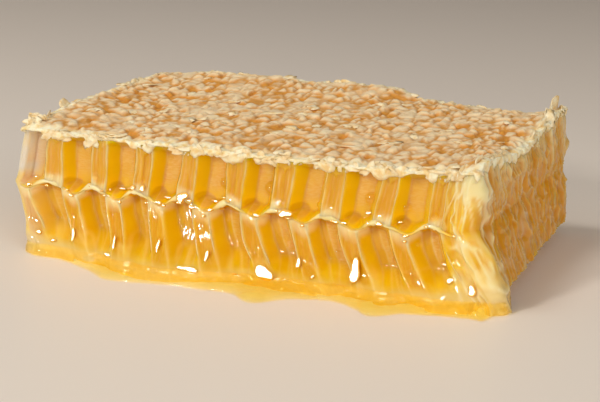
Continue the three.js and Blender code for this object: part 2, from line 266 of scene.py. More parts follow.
def unit_grid(columns, rows):
    """Two coordinates from -1 to 1 over a grid of points."""
    return np.meshgrid(np.linspace(-1, 1, columns), np.linspace(-1, 1, rows), indexing="xy")


def round_angles(count):
    return np.linspace(0, 2 * math.pi, count, endpoint=False)


# ---------------------------------------------------------------- meshes


def placed(name, data):
    """A new object in the scene."""
    thing = bpy.data.objects.new(name, data)
    bpy.context.scene.collection.objects.link(thing)
    return thing


def mesh_piece(name, points, faces, material, masks=None, straight=None):
    """A Blender object from bent millimetre points, with named masks as point attributes. straight gives
    each point's place in the straight block, for textures that follow the bend."""
    mesh = bpy.data.meshes.new(name)
    places = (np.asarray(points).reshape(-1, 3) - ORIGIN) * MM
    mesh.from_pydata(places.tolist(), [], faces)
    for key, values in (masks or {}).items():
        layer = mesh.attributes.new(key, "FLOAT", "POINT")
        layer.data.foreach_set("value", np.asarray(values, dtype=np.float32).ravel())
    if straight is not None:
        layer = mesh.attributes.new("straight", "FLOAT_VECTOR", "POINT")
        layer.data.foreach_set("vector", np.asarray(straight, dtype=np.float32).ravel())
    mesh.polygons.foreach_set("use_smooth", [True] * len(mesh.polygons))
    mesh.materials.append(material)
    mesh.update()
    piece = placed(name, mesh)
    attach(piece, "root")
    return piece


def grid_faces(rows, columns, offset=0, around=False):
    """Quads over rows of points; around joins each row's end to its start."""
    j, i = np.meshgrid(np.arange(rows - 1), np.arange(columns if around else columns - 1), indexing="ij")
    a = offset + j * columns + i
    b = offset + j * columns + (i + 1) % columns
    return np.stack([a, b, b + columns, a + columns], axis=-1).reshape(-1, 4).tolist()


def tube_faces(loops, size, offset=0):
    """The faces of a closed tube: loops of points, and a cap at each end."""
    first = [offset + i for i in reversed(range(size))]
    last = [offset + (loops - 1) * size + i for i in range(size)]
    return grid_faces(loops, size, offset, around=True) + [first, last]


# ---------------------------------------------------------------- the cut sides

FRONT, RIGHT, BACK, LEFT, CORNER = range(5)
# For the front, right, back and left: the axis it runs along, and which way round the block.
SIDES = [(0, 1), (1, 1), (0, -1), (1, -1)]
CORNER_POINTS = 9
CORNER_RADIUS = 1.6
POINT_STEPS = (0.16, 0.22, 0.45, 0.40)  # on the front, right, back and left


def corner_points(out, axis, sign, half):
    """The points and normals of the rounded corner at the end of a side."""
    centre = out * (half - CORNER_RADIUS)
    centre[axis] = sign * (half[axis] - CORNER_RADIUS)
    start = math.atan2(out[1], out[0])
    angles = start + np.linspace(0, math.pi / 2, CORNER_POINTS + 2)[1:-1]
    normals = [np.array([math.cos(angle), math.sin(angle)]) for angle in angles]
    return [(centre + CORNER_RADIUS * normal, normal) for normal in normals]


def ring_points():
    """Points round the block, counter-clockwise from the middle of the back: place, outward normal, side,
    the coordinate along that side, and the distance travelled from the middle of the front."""
    found = []
    half = np.array([LENGTH / 2, WIDTH / 2])
    for side, (axis, sign) in enumerate(SIDES):
        reach = half[axis] - CORNER_RADIUS
        out = np.zeros(2)
        out[1 - axis] = -1 if side in (FRONT, LEFT) else 1
        for value in np.linspace(-reach, reach, int(2 * reach / POINT_STEPS[side]) + 1) * sign:
            at = out * half
            at[axis] = value
            found.append((at, out, side, value))
        for at, normal in corner_points(out, axis, sign, half):
            found.append((at, normal, CORNER, sign * half[axis]))
    place, normal, side, along = (np.array(column) for column in zip(*found))
    middle = len(side) - int(np.mean(np.flatnonzero(side == BACK)))
    place, normal, side, along = (np.roll(column, middle, axis=0) for column in (place, normal, side, along))
    gaps = np.linalg.norm(np.diff(place, axis=0), axis=1)
    travelled = np.concatenate([[0], np.cumsum(gaps)])
    return place, normal, side, along, travelled - travelled[side == FRONT].mean()


def pushed(place, normal, distance):
    """Both straight coordinates of points of the ring, pushed outwards."""
    return place[:, 0] + normal[:, 0] * distance, place[:, 1] + normal[:, 1] * distance


RING = ring_points()
RUN_FROM = -52
RUN_TO = 52
RUN_FADE = 6


def run_share(travelled):
    """How much honey has run down over the cut: 1 on the front and its corners, 0 further round."""
    return within(travelled, (RUN_FROM, RUN_FROM + RUN_FADE), (RUN_TO - RUN_FADE, RUN_TO))


def ground_at(travelled, floor):
    """How low the comb's sides reach: to the floor where honey ran out under them, and elsewhere only as
    low as the comb's own foot, at the height floor."""
    return floor * (1 - run_share(travelled))


SIDE_APART = 60.0
STRETCH = 0.05
STRETCH_CENTRE = -1.1
ROUNDING = 0.35
END_GROOVE = 2.1
UNOPENED = 9.0


def side_point(side, along, z):
    """A point for the noise of the cut sides, so that no two sides repeat each other."""
    return np.stack(np.broadcast_arrays(along, side * SIDE_APART, z), axis=-1)


def ring_point(travelled, z):
    """A point for noise that runs on round the corners."""
    return side_point(FRONT, travelled, z)


def sway(side, along, z):
    """How far the cell walls wander sideways."""
    where = side_point(side, along, z)
    return 0.44 * noise(where, (5.0, 9, 5.5), 41) + 0.16 * noise(where, (2.2, 9, 1.8), 42)


LOWER_SWEEP = 3.6


def sweep(h):
    """How far the sagging walls of the lower cells are carried to the right, at height h over the midrib."""
    return LOWER_SWEEP * unit(-h / MIDRIB_Z) ** 2


def stretch(u):
    """How far the cells at u are carried to the right, as they widen towards both ends."""
    return STRETCH * ((u - STRETCH_CENTRE) / PERIOD) ** 2


def from_wide(u, shift):
    """Distance along u from the nearest cell centre that a long cut passes through."""
    return (u - stretch(u) - FIRST_COLUMN - shift + PERIOD / 2) % PERIOD - PERIOD / 2


def from_row(v, shift):
    """Distance along v from the middle of the nearest cell that an end cut passes through."""
    return (v - FIRST_ROW - shift + CELL / 2) % CELL - CELL / 2


def cell_offset(side, along, lower):
    """The distance of each point of the cut sides from the middle of the nearest opened cell."""
    shift = SIDE if lower else 0
    front = from_wide(along, shift)
    back = from_wide(along, shift + COLUMN_PITCH)
    left = from_row(along, 0)
    right = from_row(along, ROW_PITCH)
    sides = [side == FRONT, side == BACK, side == LEFT, side == RIGHT]
    return np.select(sides, [front, back, left, right], UNOPENED)


def long_groove(x):
    """Depth of a cell that was cut open lengthwise through its middle."""
    slanted = 2 * ROW_PITCH * (1 - np.abs(x) / SIDE)
    return soft_max(0.0, soft_min(ROW_PITCH, slanted, ROUNDING), ROUNDING * 0.7)


def end_groove(x):
    """Depth of a cell that was cut open at the left or right end."""
    slanted = END_GROOVE * (1 - np.abs(x) / (CELL / 2)) * 1.25
    return soft_max(0.0, slanted, ROUNDING)


def base_depth(x, h, up):
    """How deep the floor of an opened cell lies at x, at height h above the midrib: the two rhombuses of
    the cell's base that show, with the honey that has gathered in their corners."""
    x, h = up * x, up * h
    rhombus = (h + CELL_BASE_DEPTH + x * CELL_BASE_DEPTH / SIDE) / (math.sqrt(3) * CELL_BASE_DEPTH / SIDE)
    steep = 3 * (h + CELL_BASE_DEPTH - x * 2 * CELL_BASE_DEPTH / SIDE)
    return soft_max(0.0, soft_min(rhombus, steep, 1.2), 0.3)


def zigzag(side, along):
    """Height of the midrib above MIDRIB_Z along the cut sides."""
    x = np.where(side == FRONT, from_wide(along, 0), from_wide(along, COLUMN_PITCH))
    d = CELL_BASE_DEPTH
    knots = [-PERIOD / 2, -SIDE, 0, SIDE, PERIOD / 2]
    long_side = np.interp(x, knots, [d / 2, 0, -d, d, d / 2])
    row = np.where(side == LEFT, from_row(along, 0), from_row(along, ROW_PITCH))
    end = d * (np.abs(row) / ROW_PITCH - 0.5) * 0.8
    return np.select([side <= FRONT, side == BACK, side == CORNER], [long_side, long_side, 0.0], end)


def midrib_at(side, along):
    """Height of the midrib above MIDRIB_Z at one place of a side."""
    return float(zigzag(np.array([side]), np.array([along]))[0])


def shrunk(loop, inset):
    """A loop of flat points (..., 2) round the block, drawn in towards its middle."""
    return loop * (1 - inset / np.array([LENGTH / 2, WIDTH / 2]))


def smoothed_round(values, reach):
    """Averages values round the ring over reach points on each side."""
    return sum(np.roll(values, k) for k in range(-reach, reach + 1)) / (2 * reach + 1)


SMEAR_RISE = (36.5, 41)


def smeared(side, along, h):
    """How much was smeared over the cut, from 0 to 1: the lower cells at the right of the front."""
    front = smoothstep(along, *SMEAR_RISE) * smoothstep(-h, -1.0, 3.0)
    return np.where(side == FRONT, front, 0)


CROWN = 0.9
COMB_BOTTOM = -0.1
SKIRT_TOP = 6.4
SKIRT_FILLED = 0.6
COMB_TOP = 20.35
COMB_CLOSING = [(2.0, 20.35), (5.0, 20.25), (9.0, 18.0)]
LOWER_LEVELS = 46
LOWER_CROWD = 1.25
UPPER_LEVELS = 36
UPPER_CROWD = 1.15


def crown_depth(x, h):
    """How deep an opened upper cell may be near its top, where the honey arches up to the capping."""
    top = CELLS_TOP - MIDRIB_Z + 0.3 - CROWN * (x / SIDE) ** 2
    return np.maximum(0, 1.8 * (top - h))


STRIP_HOLLOW = 0.55


def strip_hollow(side, along, h, x):
    """How far the torn strip of wall between two opened cells is hollowed, each to its own depth."""
    off = (PERIOD / 2 - np.abs(x)) / (PERIOD / 2 - SIDE)
    which = side_point(side, np.floor((along + 0.5 * x) / PERIOD) * PERIOD, 0 * h)
    own = 0.6 + 0.8 * noise(which, (5.1, 9, 9), 71)
    ragged = 0.75 + 0.45 * noise(side_point(side, along, h), (2.2, 9, 2.6), 72)
    return STRIP_HOLLOW * unit(own * ragged) * np.sqrt(unit(1 - (off / 0.85) ** 2))


def opened_depth(side, along, h, lower):
    """Depth of the opened cells behind the cut at height h above the midrib, and the offset x in them."""
    up = -1 if lower else 1
    long_side = (side == FRONT) | (side == BACK)
    x = cell_offset(side, along - sweep(h) * long_side, lower) + sway(side, along, h)
    end_side = (side == LEFT) | (side == RIGHT)
    groove = np.where(long_side, long_groove(x), 0) + np.where(end_side, end_groove(x), 0)
    floor = np.where(long_side, base_depth(x, h, up), 1.6 * np.abs(h - zigzag(side, along)))
    depth = soft_min(groove, floor, 0.5)
    hollow = strip_hollow(side, along, h, x) * smoothstep(np.abs(h - zigzag(side, along)), 0.5, 2.2)
    depth = depth + np.where(long_side, hollow, 0)
    if lower:
        depth = depth * (1 - SKIRT_FILLED * smoothstep(-h, SKIRT_TOP, MIDRIB_Z - 0.5))
    return depth if lower else soft_min(depth, crown_depth(x, h), 0.6), x


RIGHT_SWELL = 2.6
RIGHT_SWELL_HALF = 10.5
RIGHT_SWELL_RANGE = ((40, 48), (96, 102))


def end_swell(travelled, h):
    """How far the dragged right end, with its corners, stands out round the midrib."""
    round_midrib = np.maximum(0, 1 - (h / RIGHT_SWELL_HALF) ** 2)
    return RIGHT_SWELL * within(travelled, *RIGHT_SWELL_RANGE) * round_midrib


def surface_depth(side, along, h, lower):
    """Depth of the cut surface with all that was smeared over it."""
    depth, x = opened_depth(side, along, h, lower)
    where = side_point(side, along, h)
    strip = smoothstep(np.abs(x) / SIDE, 1.0, 1.08)
    ridges = 0.10 * strip * noise(where, (0.7, 9, 9), 43)
    depth = depth + (0.16 if lower else 0.09) * rough(where, (1.8, 9, 3.2), 3) + ridges
    smear = smeared(side, along, h)
    depth = depth * (1 - smear) + smear * (0.35 * rough(where, (3.0, 9, 5.0), 45) - 0.2)
    return depth, x


# Spots along the ring, as place and spread.
PILLAR = (43.5, 3.4)
PILLAR_CLOUD = (43.0, 3.0)
CORNER_SMEAR = (44.3, 1.7)
CORNER_FIBRES = (44.0, 2.6)
# A golden spot at the right corner of the front, laid into the painted glow of light through the honey.
GOLD_SPOT = (41.6, 2.2)
GOLD_HEIGHT = (2.0, 2.6)
CLEAR_CELL = (-43.8, 2.8)

STRAND_SIZE = (1.3, 9, 5.5)
RUN_TOP = 4.6
RUN_FULL = 0.9
TOE_FILLET = 3.4
TOE_LOBE = 1.5
TOE_SHARE = 0.3


def run_over(depth, travelled, h):
    """The depth of the lower cells where honey ran over them: it fills them towards the foot, and stands
    out past the cut there."""
    z = MIDRIB_Z + h
    run = run_share(travelled)
    where = ring_point(travelled, z)
    fill = smoothstep(-z, -RUN_TOP, -RUN_FULL) * (0.8 + 0.2 * noise(where, (5.5, 9, 5.0), 61))
    fill = fill * (1 - 0.85 * drag_share(travelled, h))
    lumps = 0.30 * rough(where, (2.8, 9, 3.4), 62, 2)
    strands = 0.55 * noise(where, STRAND_SIZE, 64)
    pillar = (0.6 + strands) * near(travelled, PILLAR) * smoothstep(-z, -10.0, -6.0)
    bulge = (0.75 + lumps) * smoothstep(-z, -RUN_TOP, -1.0) + pillar
    return depth * (1 - fill * run) - bulge * run


def toe(travelled, reach, height):
    """How far the comb's own foot spreads out at a height over the ground, where the honey ran."""
    fillet = unit(1 - height / TOE_FILLET) ** 2
    lobe = np.sqrt(unit(1 - (height / TOE_LOBE) ** 2))
    uneven = 1 + 0.7 * noise(ring_point(travelled, 0 * travelled), 4.5, 67)
    return TOE_SHARE * uneven * reach * run_share(travelled) * (0.8 * fillet + 0.2 * lobe)


FIBRE_SIZE = (0.8, 9, 5.0)
DRAG_FROM = 39.0
DRAG_TO = 97.0


def drag_share(travelled, h):
    """How much of the surface the knife dragged over: the right end, and the front next to it."""
    start = DRAG_FROM + 1.2 * noise(ring_point(0 * travelled, h), (9, 9, 3.0), 74)
    return within(travelled, (start - 1.0, start + 1.5), (DRAG_TO - 2.5, DRAG_TO))


def dragged(travelled, h):
    """The surface that the knife dragged down in curtains and torn webs: its depth, how much pale wax lies
    on it, and how much greyish wax is drawn through it."""
    drift = 0.10 * h + 1.6 * noise(side_point(RIGHT, travelled, h), (6, 9, 6), 51)
    where = side_point(RIGHT, travelled + drift, h)
    curtain = unit(0.65 * veins(where, (2.8, 9, 11), 52, 2.2) + 0.5 * veins(where, (1.2, 9, 5), 78, 2.4))
    bent = where + 0.7 * noise(where, (2.0, 9, 1.6), 54)[..., None]
    web = veins(bent, (1.1, 9, 3.8), 53, 4.0)
    lumps = rough(side_point(RIGHT, travelled, h), (3.0, 9, 2.2), 55, 3)
    depth = 0.85 - 0.6 * curtain - 0.36 * web + 0.3 * lumps
    tongue = smoothstep(h + 3.4 * noise(where, (1.5, 9, 40), 76), 1.5, 9.0)
    smear = near(travelled, CORNER_SMEAR) * smoothstep(h, 0.5, 4.5) * (0.1 + 0.9 * curtain)
    at_front = 1 - smoothstep(travelled, 46, 52)
    fibres = veins(where, FIBRE_SIZE, 80, 4.0, 1.3)
    smear = smear * (0.3 + 0.9 * fibres) + 0.55 * fibres * near(travelled, CORNER_FIBRES)
    wax = tongue * (0.1 + 0.9 * curtain) + 0.25 * curtain * web + 0.8 * smear + 0.6 * web * at_front
    grey = 0.15 * web * (1 - tongue) * smoothstep(lumps, -0.6, 0.5)
    return depth, unit(wax * (0.7 + 0.3 * at_front)), grey


def cut_depth(side, along, travelled, h, lower):
    """Depth of the cut surface, with what the knife dragged over it, and the offset x in its cells."""
    depth, x = surface_depth(side, along, h, lower)
    return depth + (dragged(travelled, h)[0] - depth) * drag_share(travelled, h), x


def drag_masks(masks, travelled, h):
    """The masks, with the colours of the dragged surface where the knife dragged over it."""
    share = drag_share(travelled, h)
    _, wax, grey = dragged(travelled, h)
    for key in ("pale", "pit", "strip", "clear", "wax"):
        masks[key] = masks[key] * (1 - share)
    masks["wax"] = masks["wax"] + wax * share
    masks["clear"] = masks["clear"] + grey * share
    masks["pit"] = masks["pit"] + 0.6 * (1 - wax) * smoothstep(travelled, 42, 47) * share
    return masks


def comb_tier(h, start, lower):
    """The depth and the masks of one tier's sides, at heights h over the midrib."""
    side, along, travelled = RING[2:]
    side, along = np.broadcast_to(side, h.shape), np.broadcast_to(along, h.shape)
    depth, x = cut_depth(side, along, travelled, h, lower)
    masks = drag_masks(tier_masks(side, along, travelled, h, x, depth, start, lower), travelled, h)
    return run_over(depth, travelled, h), masks


def make_comb(material):
    """Both tiers of honey-filled cells, closed at the midrib by the standing wax."""
    place, normal, side, along, travelled = RING
    floor = bend(place[:, 0], place[:, 1], 0)[:, 2]
    lift = floor - ground_at(travelled, floor)
    start = smoothed_round(zigzag(side, along), BEAD_ROUNDING)
    bottom = COMB_BOTTOM - MIDRIB_Z - lift
    top = COMB_TOP - MIDRIB_Z
    lower = bottom + (start - bottom) * np.linspace(0, 1, LOWER_LEVELS)[:-1, None] ** LOWER_CROWD
    upper = start + (top - start) * np.linspace(0, 1, UPPER_LEVELS)[:, None] ** UPPER_CROWD
    tiers = [comb_tier(lower, start, True), comb_tier(upper, start, False)]
    h = np.concatenate([lower, upper])
    depth = np.concatenate([tier[0] for tier in tiers])
    depth = depth + (smoothed_round_corners(depth, side) - depth) * (1 - drag_share(travelled, h))
    spread = toe(travelled, foot_reach(place, side), MIDRIB_Z + h + lift)
    u, v = pushed(place, normal, end_swell(travelled, h) + spread - depth)
    z = MIDRIB_Z + h
    edge = np.stack([u[-1], v[-1]], axis=-1)
    for inset, height in COMB_CLOSING:
        within = shrunk(edge, inset)
        u, v = np.vstack([u, within[:, 0]]), np.vstack([v, within[:, 1]])
        z = np.vstack([z, np.full(len(edge), height)])
    masks = {}
    for key in tiers[0][1]:
        rows = np.concatenate([tier[1][key] for tier in tiers])
        masks[key] = np.concatenate([rows] + [rows[-1:]] * len(COMB_CLOSING))
    straight = np.stack([u, v, z], axis=-1)
    return mesh_piece("comb_honey", torn(u, v, z), tube_faces(len(z), len(side)), material, masks, straight)


def summed_round(values, count):
    """Sums values round the ring over count neighbouring points, its ends joined."""
    return np.convolve(np.tile(values, 3), np.ones(count), "same")[len(values) : 2 * len(values)]


CORNER_SMOOTHING = 6
CORNER_REACH = 9


def smoothed_round_corners(depth, side):
    """The depths of all levels, evened out round the corners, where two sides meet."""
    shifts = range(-CORNER_SMOOTHING, CORNER_SMOOTHING + 1)
    even = sum(np.roll(depth, shift, axis=1) for shift in shifts) / len(shifts)
    return np.where(summed_round(side == CORNER, CORNER_REACH) > 0, even, depth)


def line_at(x, place, width=0.16):
    """A thin line across x."""
    return bell(x - place, width)


def facets(t):
    """How much each point belongs to an opened cell's left facet, flat facet and right facet, and to the
    strip of uncut wall beside it; t is the offset in the cell, in cell sides."""
    edges = (-1.03, -0.97), (-0.53, -0.47), (0.47, 0.55), (0.95, 1.02)
    left, flat, right = (within(t, *pair) for pair in zip(edges, edges[1:]))
    return left, flat, right, 1 - unit(left + flat + right)


PIT_AT = -1.5
PIT_RISE = 1.3
PIT_HALF_WIDE = 1.4
PIT_HALF_HIGH = 1.1


def upper_masks(where, x, t, depth, rise):
    """Colours of the upper cells: pinkish flat facets, a painted glow of bright yellow at the bottom of each
    cell for light through the honey, with a dark pit in it, and pale lines and webs of wax on the strips
    between."""
    _, flat, right, strip = facets(t)
    cloud = smoothstep(noise(where, (2.6, 9, 4.5), 49), -0.5, 0.5)
    off_middle = PERIOD / 2 - np.abs(x)
    band = strip * bell(off_middle - 1.15, 0.42)
    reach = (np.abs(x - PIT_AT) / PIT_HALF_WIDE) ** 2.2 + (np.abs(rise - PIT_RISE) / PIT_HALF_HIGH) ** 2.2
    pit = 1 - smoothstep(reach + 0.5 * noise(where, 1.5, 50), 0.5, 1.2)
    # Painted glow: bright yellow at the bottom of each cell, for light coming through the honey.
    painted_glow = smoothstep(depth, 0.1, 0.5) * (1 - smoothstep(rise, 1.8, 4.4)) * (1 - pit)
    pit = pit * (0.42 + 0.22 * noise(where, (6, 9, 9), 73))
    lines = line_at(np.abs(x), SIDE * 1.02) + 0.5 * line_at(x, -SIDE / 2, 0.12)
    lines = lines + 0.5 * strip * line_at(off_middle, 0.75, 0.12)
    patchy = 0.45 + 0.55 * noise(where, (9, 9, 2.2), 46)
    web = strip * (1 - smoothstep(rise + 1.1 * noise(where, 1.6, 57), 0.4, 2.2))
    return {
        "pale": flat * (0.60 + 0.40 * cloud) + 0.3 * right + 0.2 * band * cloud + 0.05 * strip * cloud,
        "painted_glow": painted_glow,
        "pit": np.maximum(pit, 0.7 * strip),
        "strip": strip * 0.4,
        "wax": 0.8 * lines * (1 - pit) * patchy + 0.8 * web,
    }


# The pale lines down each lower cell: place in cell sides, strength and width.
LOWER_LINES = [(-1.0, 1, 0.06), (-0.5, 0.5, 0.045), (0.02, 0.5, 0.05), (0.56, 0.5, 0.05), (1.02, 0.6, 0.06)]


def lower_masks(where, t, rise):
    """Colours of the lower cells, which pale and blur towards the foot, with webs of wax under the midrib and
    a painted glow, brighter yellow towards the foot, for light through the honey.
    """
    down = unit(-rise / MIDRIB_Z)
    left, _, _, strip = facets(t)
    web = 1 - smoothstep(-rise + 0.9 * noise(where, 1.6, 79), 0.3, 1.6 + 0.9 * strip)
    cloud = smoothstep(noise(where, (2.6, 9, 4.5), 49), -0.5, 0.5)
    fade = 1 - smoothstep(down, 0.5, 0.92)
    low = smoothstep(down, 0.4, 0.75)
    wall = within(t, (-0.08, 0.06), (0.5, 0.62))
    dark = within(t, (-0.54, -0.46), (-0.1, 0.0))
    lines = sum(strength * line_at(t, place, width) for place, strength, width in LOWER_LINES)
    lines = lines * (0.5 + 0.5 * noise(where, (9, 9, 2.6), 46)) * (0.35 + 0.65 * fade)
    golden = 0.3 + 0.3 * noise(where, (2.2, 9, 2.6), 75)
    return {
        "pale": wall * (0.65 + 0.35 * cloud) * fade + 0.15 * strip * cloud * fade,
        # Painted glow: brighter yellow towards the foot, for light coming through the honey.
        "painted_glow": 0.5 * smoothstep(down, 0.3, 0.7) * smoothstep(noise(where, (2.6, 9, 2.2), 77), -0.2, 0.5),
        "pit": (0.5 * dark + 0.7 * strip + 0.25 * left) * fade + golden * low,
        "strip": strip * 0.3 * fade,
        "wax": 0.8 * lines + 0.7 * web * (strip + left),
    }


CLOUD_SIZE = (3.2, 9, 3.6)
VEIN_SIZE = (1.5, 9, 5.0)


def cloudy(travelled, h):
    """Where the run-out honey is clouded with wax: towards the foot, in veins that follow the run, and in
    the pillar at the right corner."""
    z = MIDRIB_Z + h
    run = run_share(travelled)
    where = ring_point(travelled - 1.6 * sweep(h), z)
    lines = smoothstep(veins(where, VEIN_SIZE, 58, 5), 0.3, 0.9) * smoothstep(-z, -5.5, -3.0)
    foot = smoothstep(-z + 0.6 * noise(where, CLOUD_SIZE, 59), -1.5, -0.1)
    folds = smoothstep(noise(where, (4.5, 9, 0.8), 68), 0.0, 0.5) * smoothstep(-z, -4.0, -1.5)
    strands = unit(0.6 + 1.6 * noise(ring_point(travelled, z), FIBRE_SIZE, 80))
    pillar = near(travelled, PILLAR_CLOUD) * (1 - smoothstep(h, -2.0, 0.5)) * 0.95 * strands
    return unit(run * (0.3 * foot + 0.4 * lines + 0.3 * folds) + pillar)


# How far round the corners the painted shade of the right end is spread.
PAINTED_SHADE_ROUNDING = 11


def tier_masks(side, along, travelled, h, x, depth, start, lower):
    """Which colour each point of the cut surface takes."""
    where = side_point(side, along, h)
    t = (x + 0.10 * noise(where, (9, 9, 1.3), 48)) / SIDE
    rise = h - start
    if lower:
        masks = lower_masks(where, t, rise)
    else:
        masks = upper_masks(where, x, t, depth, rise)
    sharp = 1 - smeared(side, along, h)
    end = np.isin(side, (LEFT, RIGHT, CORNER))
    for key in ("pale", "pit", "strip", "wax"):
        masks[key] = np.where(end, 0, masks[key] * sharp)
    masks["pale"] = np.where(end, 0.3 * (1 - smoothstep(depth, 0.2, 1.2)), masks["pale"])
    # Less painted glow on the ends; the golden spot at the right corner goes into the painted glow too.
    masks["painted_glow"] = np.where(end, 0.5 * masks["painted_glow"], masks["painted_glow"])
    masks["painted_glow"] = np.maximum(masks["painted_glow"], near(travelled, GOLD_SPOT) * near(h, GOLD_HEIGHT))
    masks["cloud"] = cloudy(travelled, h)
    # The toe of the run honey: subsurface is turned off there, and its pale colour is laid on darker where it
    # faces up into the lamps, partly painted shade.
    broken = 1 + 0.5 * noise(where, (2.6, 9, 1.2), 79)
    masks["edge"] = run_share(travelled) * smoothstep(-MIDRIB_Z - h, -2.6, -0.9) * broken
    cleared = (0.4 + 0.6 * smoothstep(h, 0.2, 2.5)) * (0.8 + 0.2 * noise(where, 1.5, 63))
    masks["clear"] = near(travelled, CLEAR_CELL) * cleared
    # Painted shade: the right end, turned away from the key lamp, is painted darker amber.
    masks["painted_shade"] = summed_round(side[0] == RIGHT, PAINTED_SHADE_ROUNDING) / PAINTED_SHADE_ROUNDING
    return {key: unit(value + 0 * h) for key, value in masks.items()}


# ---------------------------------------------------------------- standing wax

RIB_SIDES = 6
RIB_LEVELS = 26
RIB_WIDTH = 0.16
RIB_PROUD = 0.04
RIB_DEEP = 0.5
RIB_PALE = 0.6
RIB_FOOT = 1.6
RIB_CLEAR = {FRONT: 1, BACK: 3, LEFT: 1}  # of the corners, on each side
END_RIB_HEIGHT = 0.4
TIER_MIDDLE = 5.0
REPEATS = 12  # of the cell pattern, more than the piece is long


def rib(at, out, along, low, high, seed):
    """One cut edge of a cell wall, standing a little proud of the cut."""
    z = np.linspace(low, high, RIB_LEVELS)[:, None]
    angle = round_angles(RIB_SIDES)[None, :]
    line = np.stack([0 * z, 0 * z + seed, z], axis=-1)[:, 0]
    side = {(0, -1): FRONT, (0, 1): BACK, (-1, 0): LEFT}[out]
    drift = -sway(side, at[0] if along[0] else at[1], z - MIDRIB_Z) + 0.05 * noise(line, 2.4, 5)[:, None]
    drift = drift + sweep(z - MIDRIB_Z) * along[0]
    swell = 0.75 + 0.65 * noise(line, 1.3, 6)[:, None]
    across = RIB_WIDTH / 2 * swell * np.sin(angle) + drift
    outward = (RIB_PROUD + RIB_DEEP) / 2 * np.cos(angle) + (RIB_PROUD - RIB_DEEP) / 2
    u = at[0] + along[0] * across + out[0] * outward
    v = at[1] + along[1] * across + out[1] * outward
    return torn(u, v, z + 0 * angle)


def rib_places():
    """Where the knife cut cell walls edge on: place, outward and along directions, tier and height there."""
    found = []
    for lower in (False, True):
        for side, out in ((FRONT, (0, -1)), (BACK, (0, 1))):
            room = LENGTH / 2 - RIB_CLEAR[side]
            shift = (SIDE if lower else 0) + (COLUMN_PITCH if side == BACK else 0)
            for k, edge in product(range(-1, REPEATS), (-SIDE, SIDE)):
                u = FIRST_COLUMN + shift + k * PERIOD + edge
                u = u + stretch(u)
                if abs(u) < room and smeared(side, u, -TIER_MIDDLE if lower else TIER_MIDDLE) < 0.5:
                    h = midrib_at(side, u)
                    found.append(((u, out[1] * WIDTH / 2), out, (1, 0), lower, h))
        for v in FIRST_ROW + ROW_PITCH + np.arange(REPEATS) * CELL:
            if abs(v) < WIDTH / 2 - RIB_CLEAR[LEFT]:
                found.append(((-LENGTH / 2, v), (-1, 0), (0, 1), lower, END_RIB_HEIGHT))
    return found


BEAD_SIDES = 10
BEAD_DEEP = 0.7
BEAD_ROUNDING = 8


def midrib_bead():
    """The cut edge of the midrib: a bead along its zigzag round the piece, thick where cell walls meet it.
    It runs under the smeared right end."""
    place, normal, side, _, travelled = (column[::2] for column in RING)
    height = smoothed_round(zigzag(RING[2], RING[3]), BEAD_ROUNDING)
    height = (height + 0.18 * noise(ring_point(RING[4], 0 * RING[4]), 2.6, 15))[::2]
    angle = round_angles(BEAD_SIDES)[:, None]
    line = ring_point(travelled, 0 * travelled)
    node = smoothstep(height, -0.9, 0.9)
    thick = (0.12 + 0.48 * node**2) * np.clip(1 + 0.9 * rough(line, 1.3, 12), 0.4, 2.0)
    proud = -0.04 + 0.34 * node + 0.28 * noise(line, 1.7, 14)
    proud = np.where((side == RIGHT) | (side == CORNER), -0.6, proud)
    proud = smoothed_round(proud, 3)
    outward = (proud + BEAD_DEEP) / 2 * np.cos(angle) + (proud - BEAD_DEEP) / 2
    z = MIDRIB_Z + height + thick * np.sin(angle)
    points = bend(*pushed(place, normal, outward), z).transpose(1, 0, 2)
    count = len(side)
    faces = grid_faces(count, BEAD_SIDES, around=True)
    last = (count - 1) * BEAD_SIDES
    faces += [[last + i, last + (i + 1) % BEAD_SIDES, (i + 1) % BEAD_SIDES, i] for i in range(BEAD_SIDES)]
    return points.reshape(-1, 3), [face[::-1] for face in faces], np.repeat(node, BEAD_SIDES)


def make_walls(material):
    """The cut edges of the midrib and of the cell walls."""
    points, faces, node = midrib_bead()
    parts = [points]
    count = len(points)
    for n, (at, out, along, lower, h) in enumerate(rib_places()):
        low, high = (RIB_FOOT, MIDRIB_Z + h) if lower else (MIDRIB_Z + h, CELLS_TOP)
        part = rib(at, out, along, low, high, 7.0 * n)
        if out[1] > 0 or out[0] < 0:
            part = part[:, ::-1]
        parts.append(part.reshape(-1, 3))
        faces += [face[::-1] for face in tube_faces(RIB_LEVELS, RIB_SIDES, count)]
        count += RIB_LEVELS * RIB_SIDES
    nodes = np.concatenate([node, np.full(count - len(node), RIB_PALE)])
    return mesh_piece("comb_walls", np.concatenate(parts), faces, material, {"node": nodes})


# ---------------------------------------------------------------- cappings

CAP_STEP = 0.24
FLAKE_PITCH = np.array([2.3, 2.8])
FLAKE_HEIGHT = 0.75
FLAKE_TILT = 0.22
FLAKE_ROUNDING = 0.85
CREVICE_WIDTH = 0.5


def scattered(points, pitch, seed):
    """For flat points (..., 2) among seeds scattered one in each square of a grid: the distances of the
    nearest and the next nearest seed, a number from 0 to 1 that belongs to the nearest, and the way to it."""
    at = points / pitch
    home = np.floor(at).astype(np.int64)
    shape = at.shape[:-1]
    first, second, tag = np.full(shape, 9.0), np.full(shape, 9.0), np.zeros(shape)
    way = np.zeros(at.shape)
    for step in np.ndindex(5, 5):
        corner = home + np.array(step) - 2
        spot = corner + np.stack([hashed(corner + seed), hashed(corner + seed + 77)], axis=-1)
        gap = at - spot
        distance = np.linalg.norm(gap, axis=-1)
        closer = distance < first
        second = np.where(closer, first, np.minimum(second, distance))
        tag = np.where(closer, hashed(corner + seed + 154), tag)
        way = np.where(closer[..., None], gap, way)
        first = np.minimum(first, distance)
    return first, second, tag, way


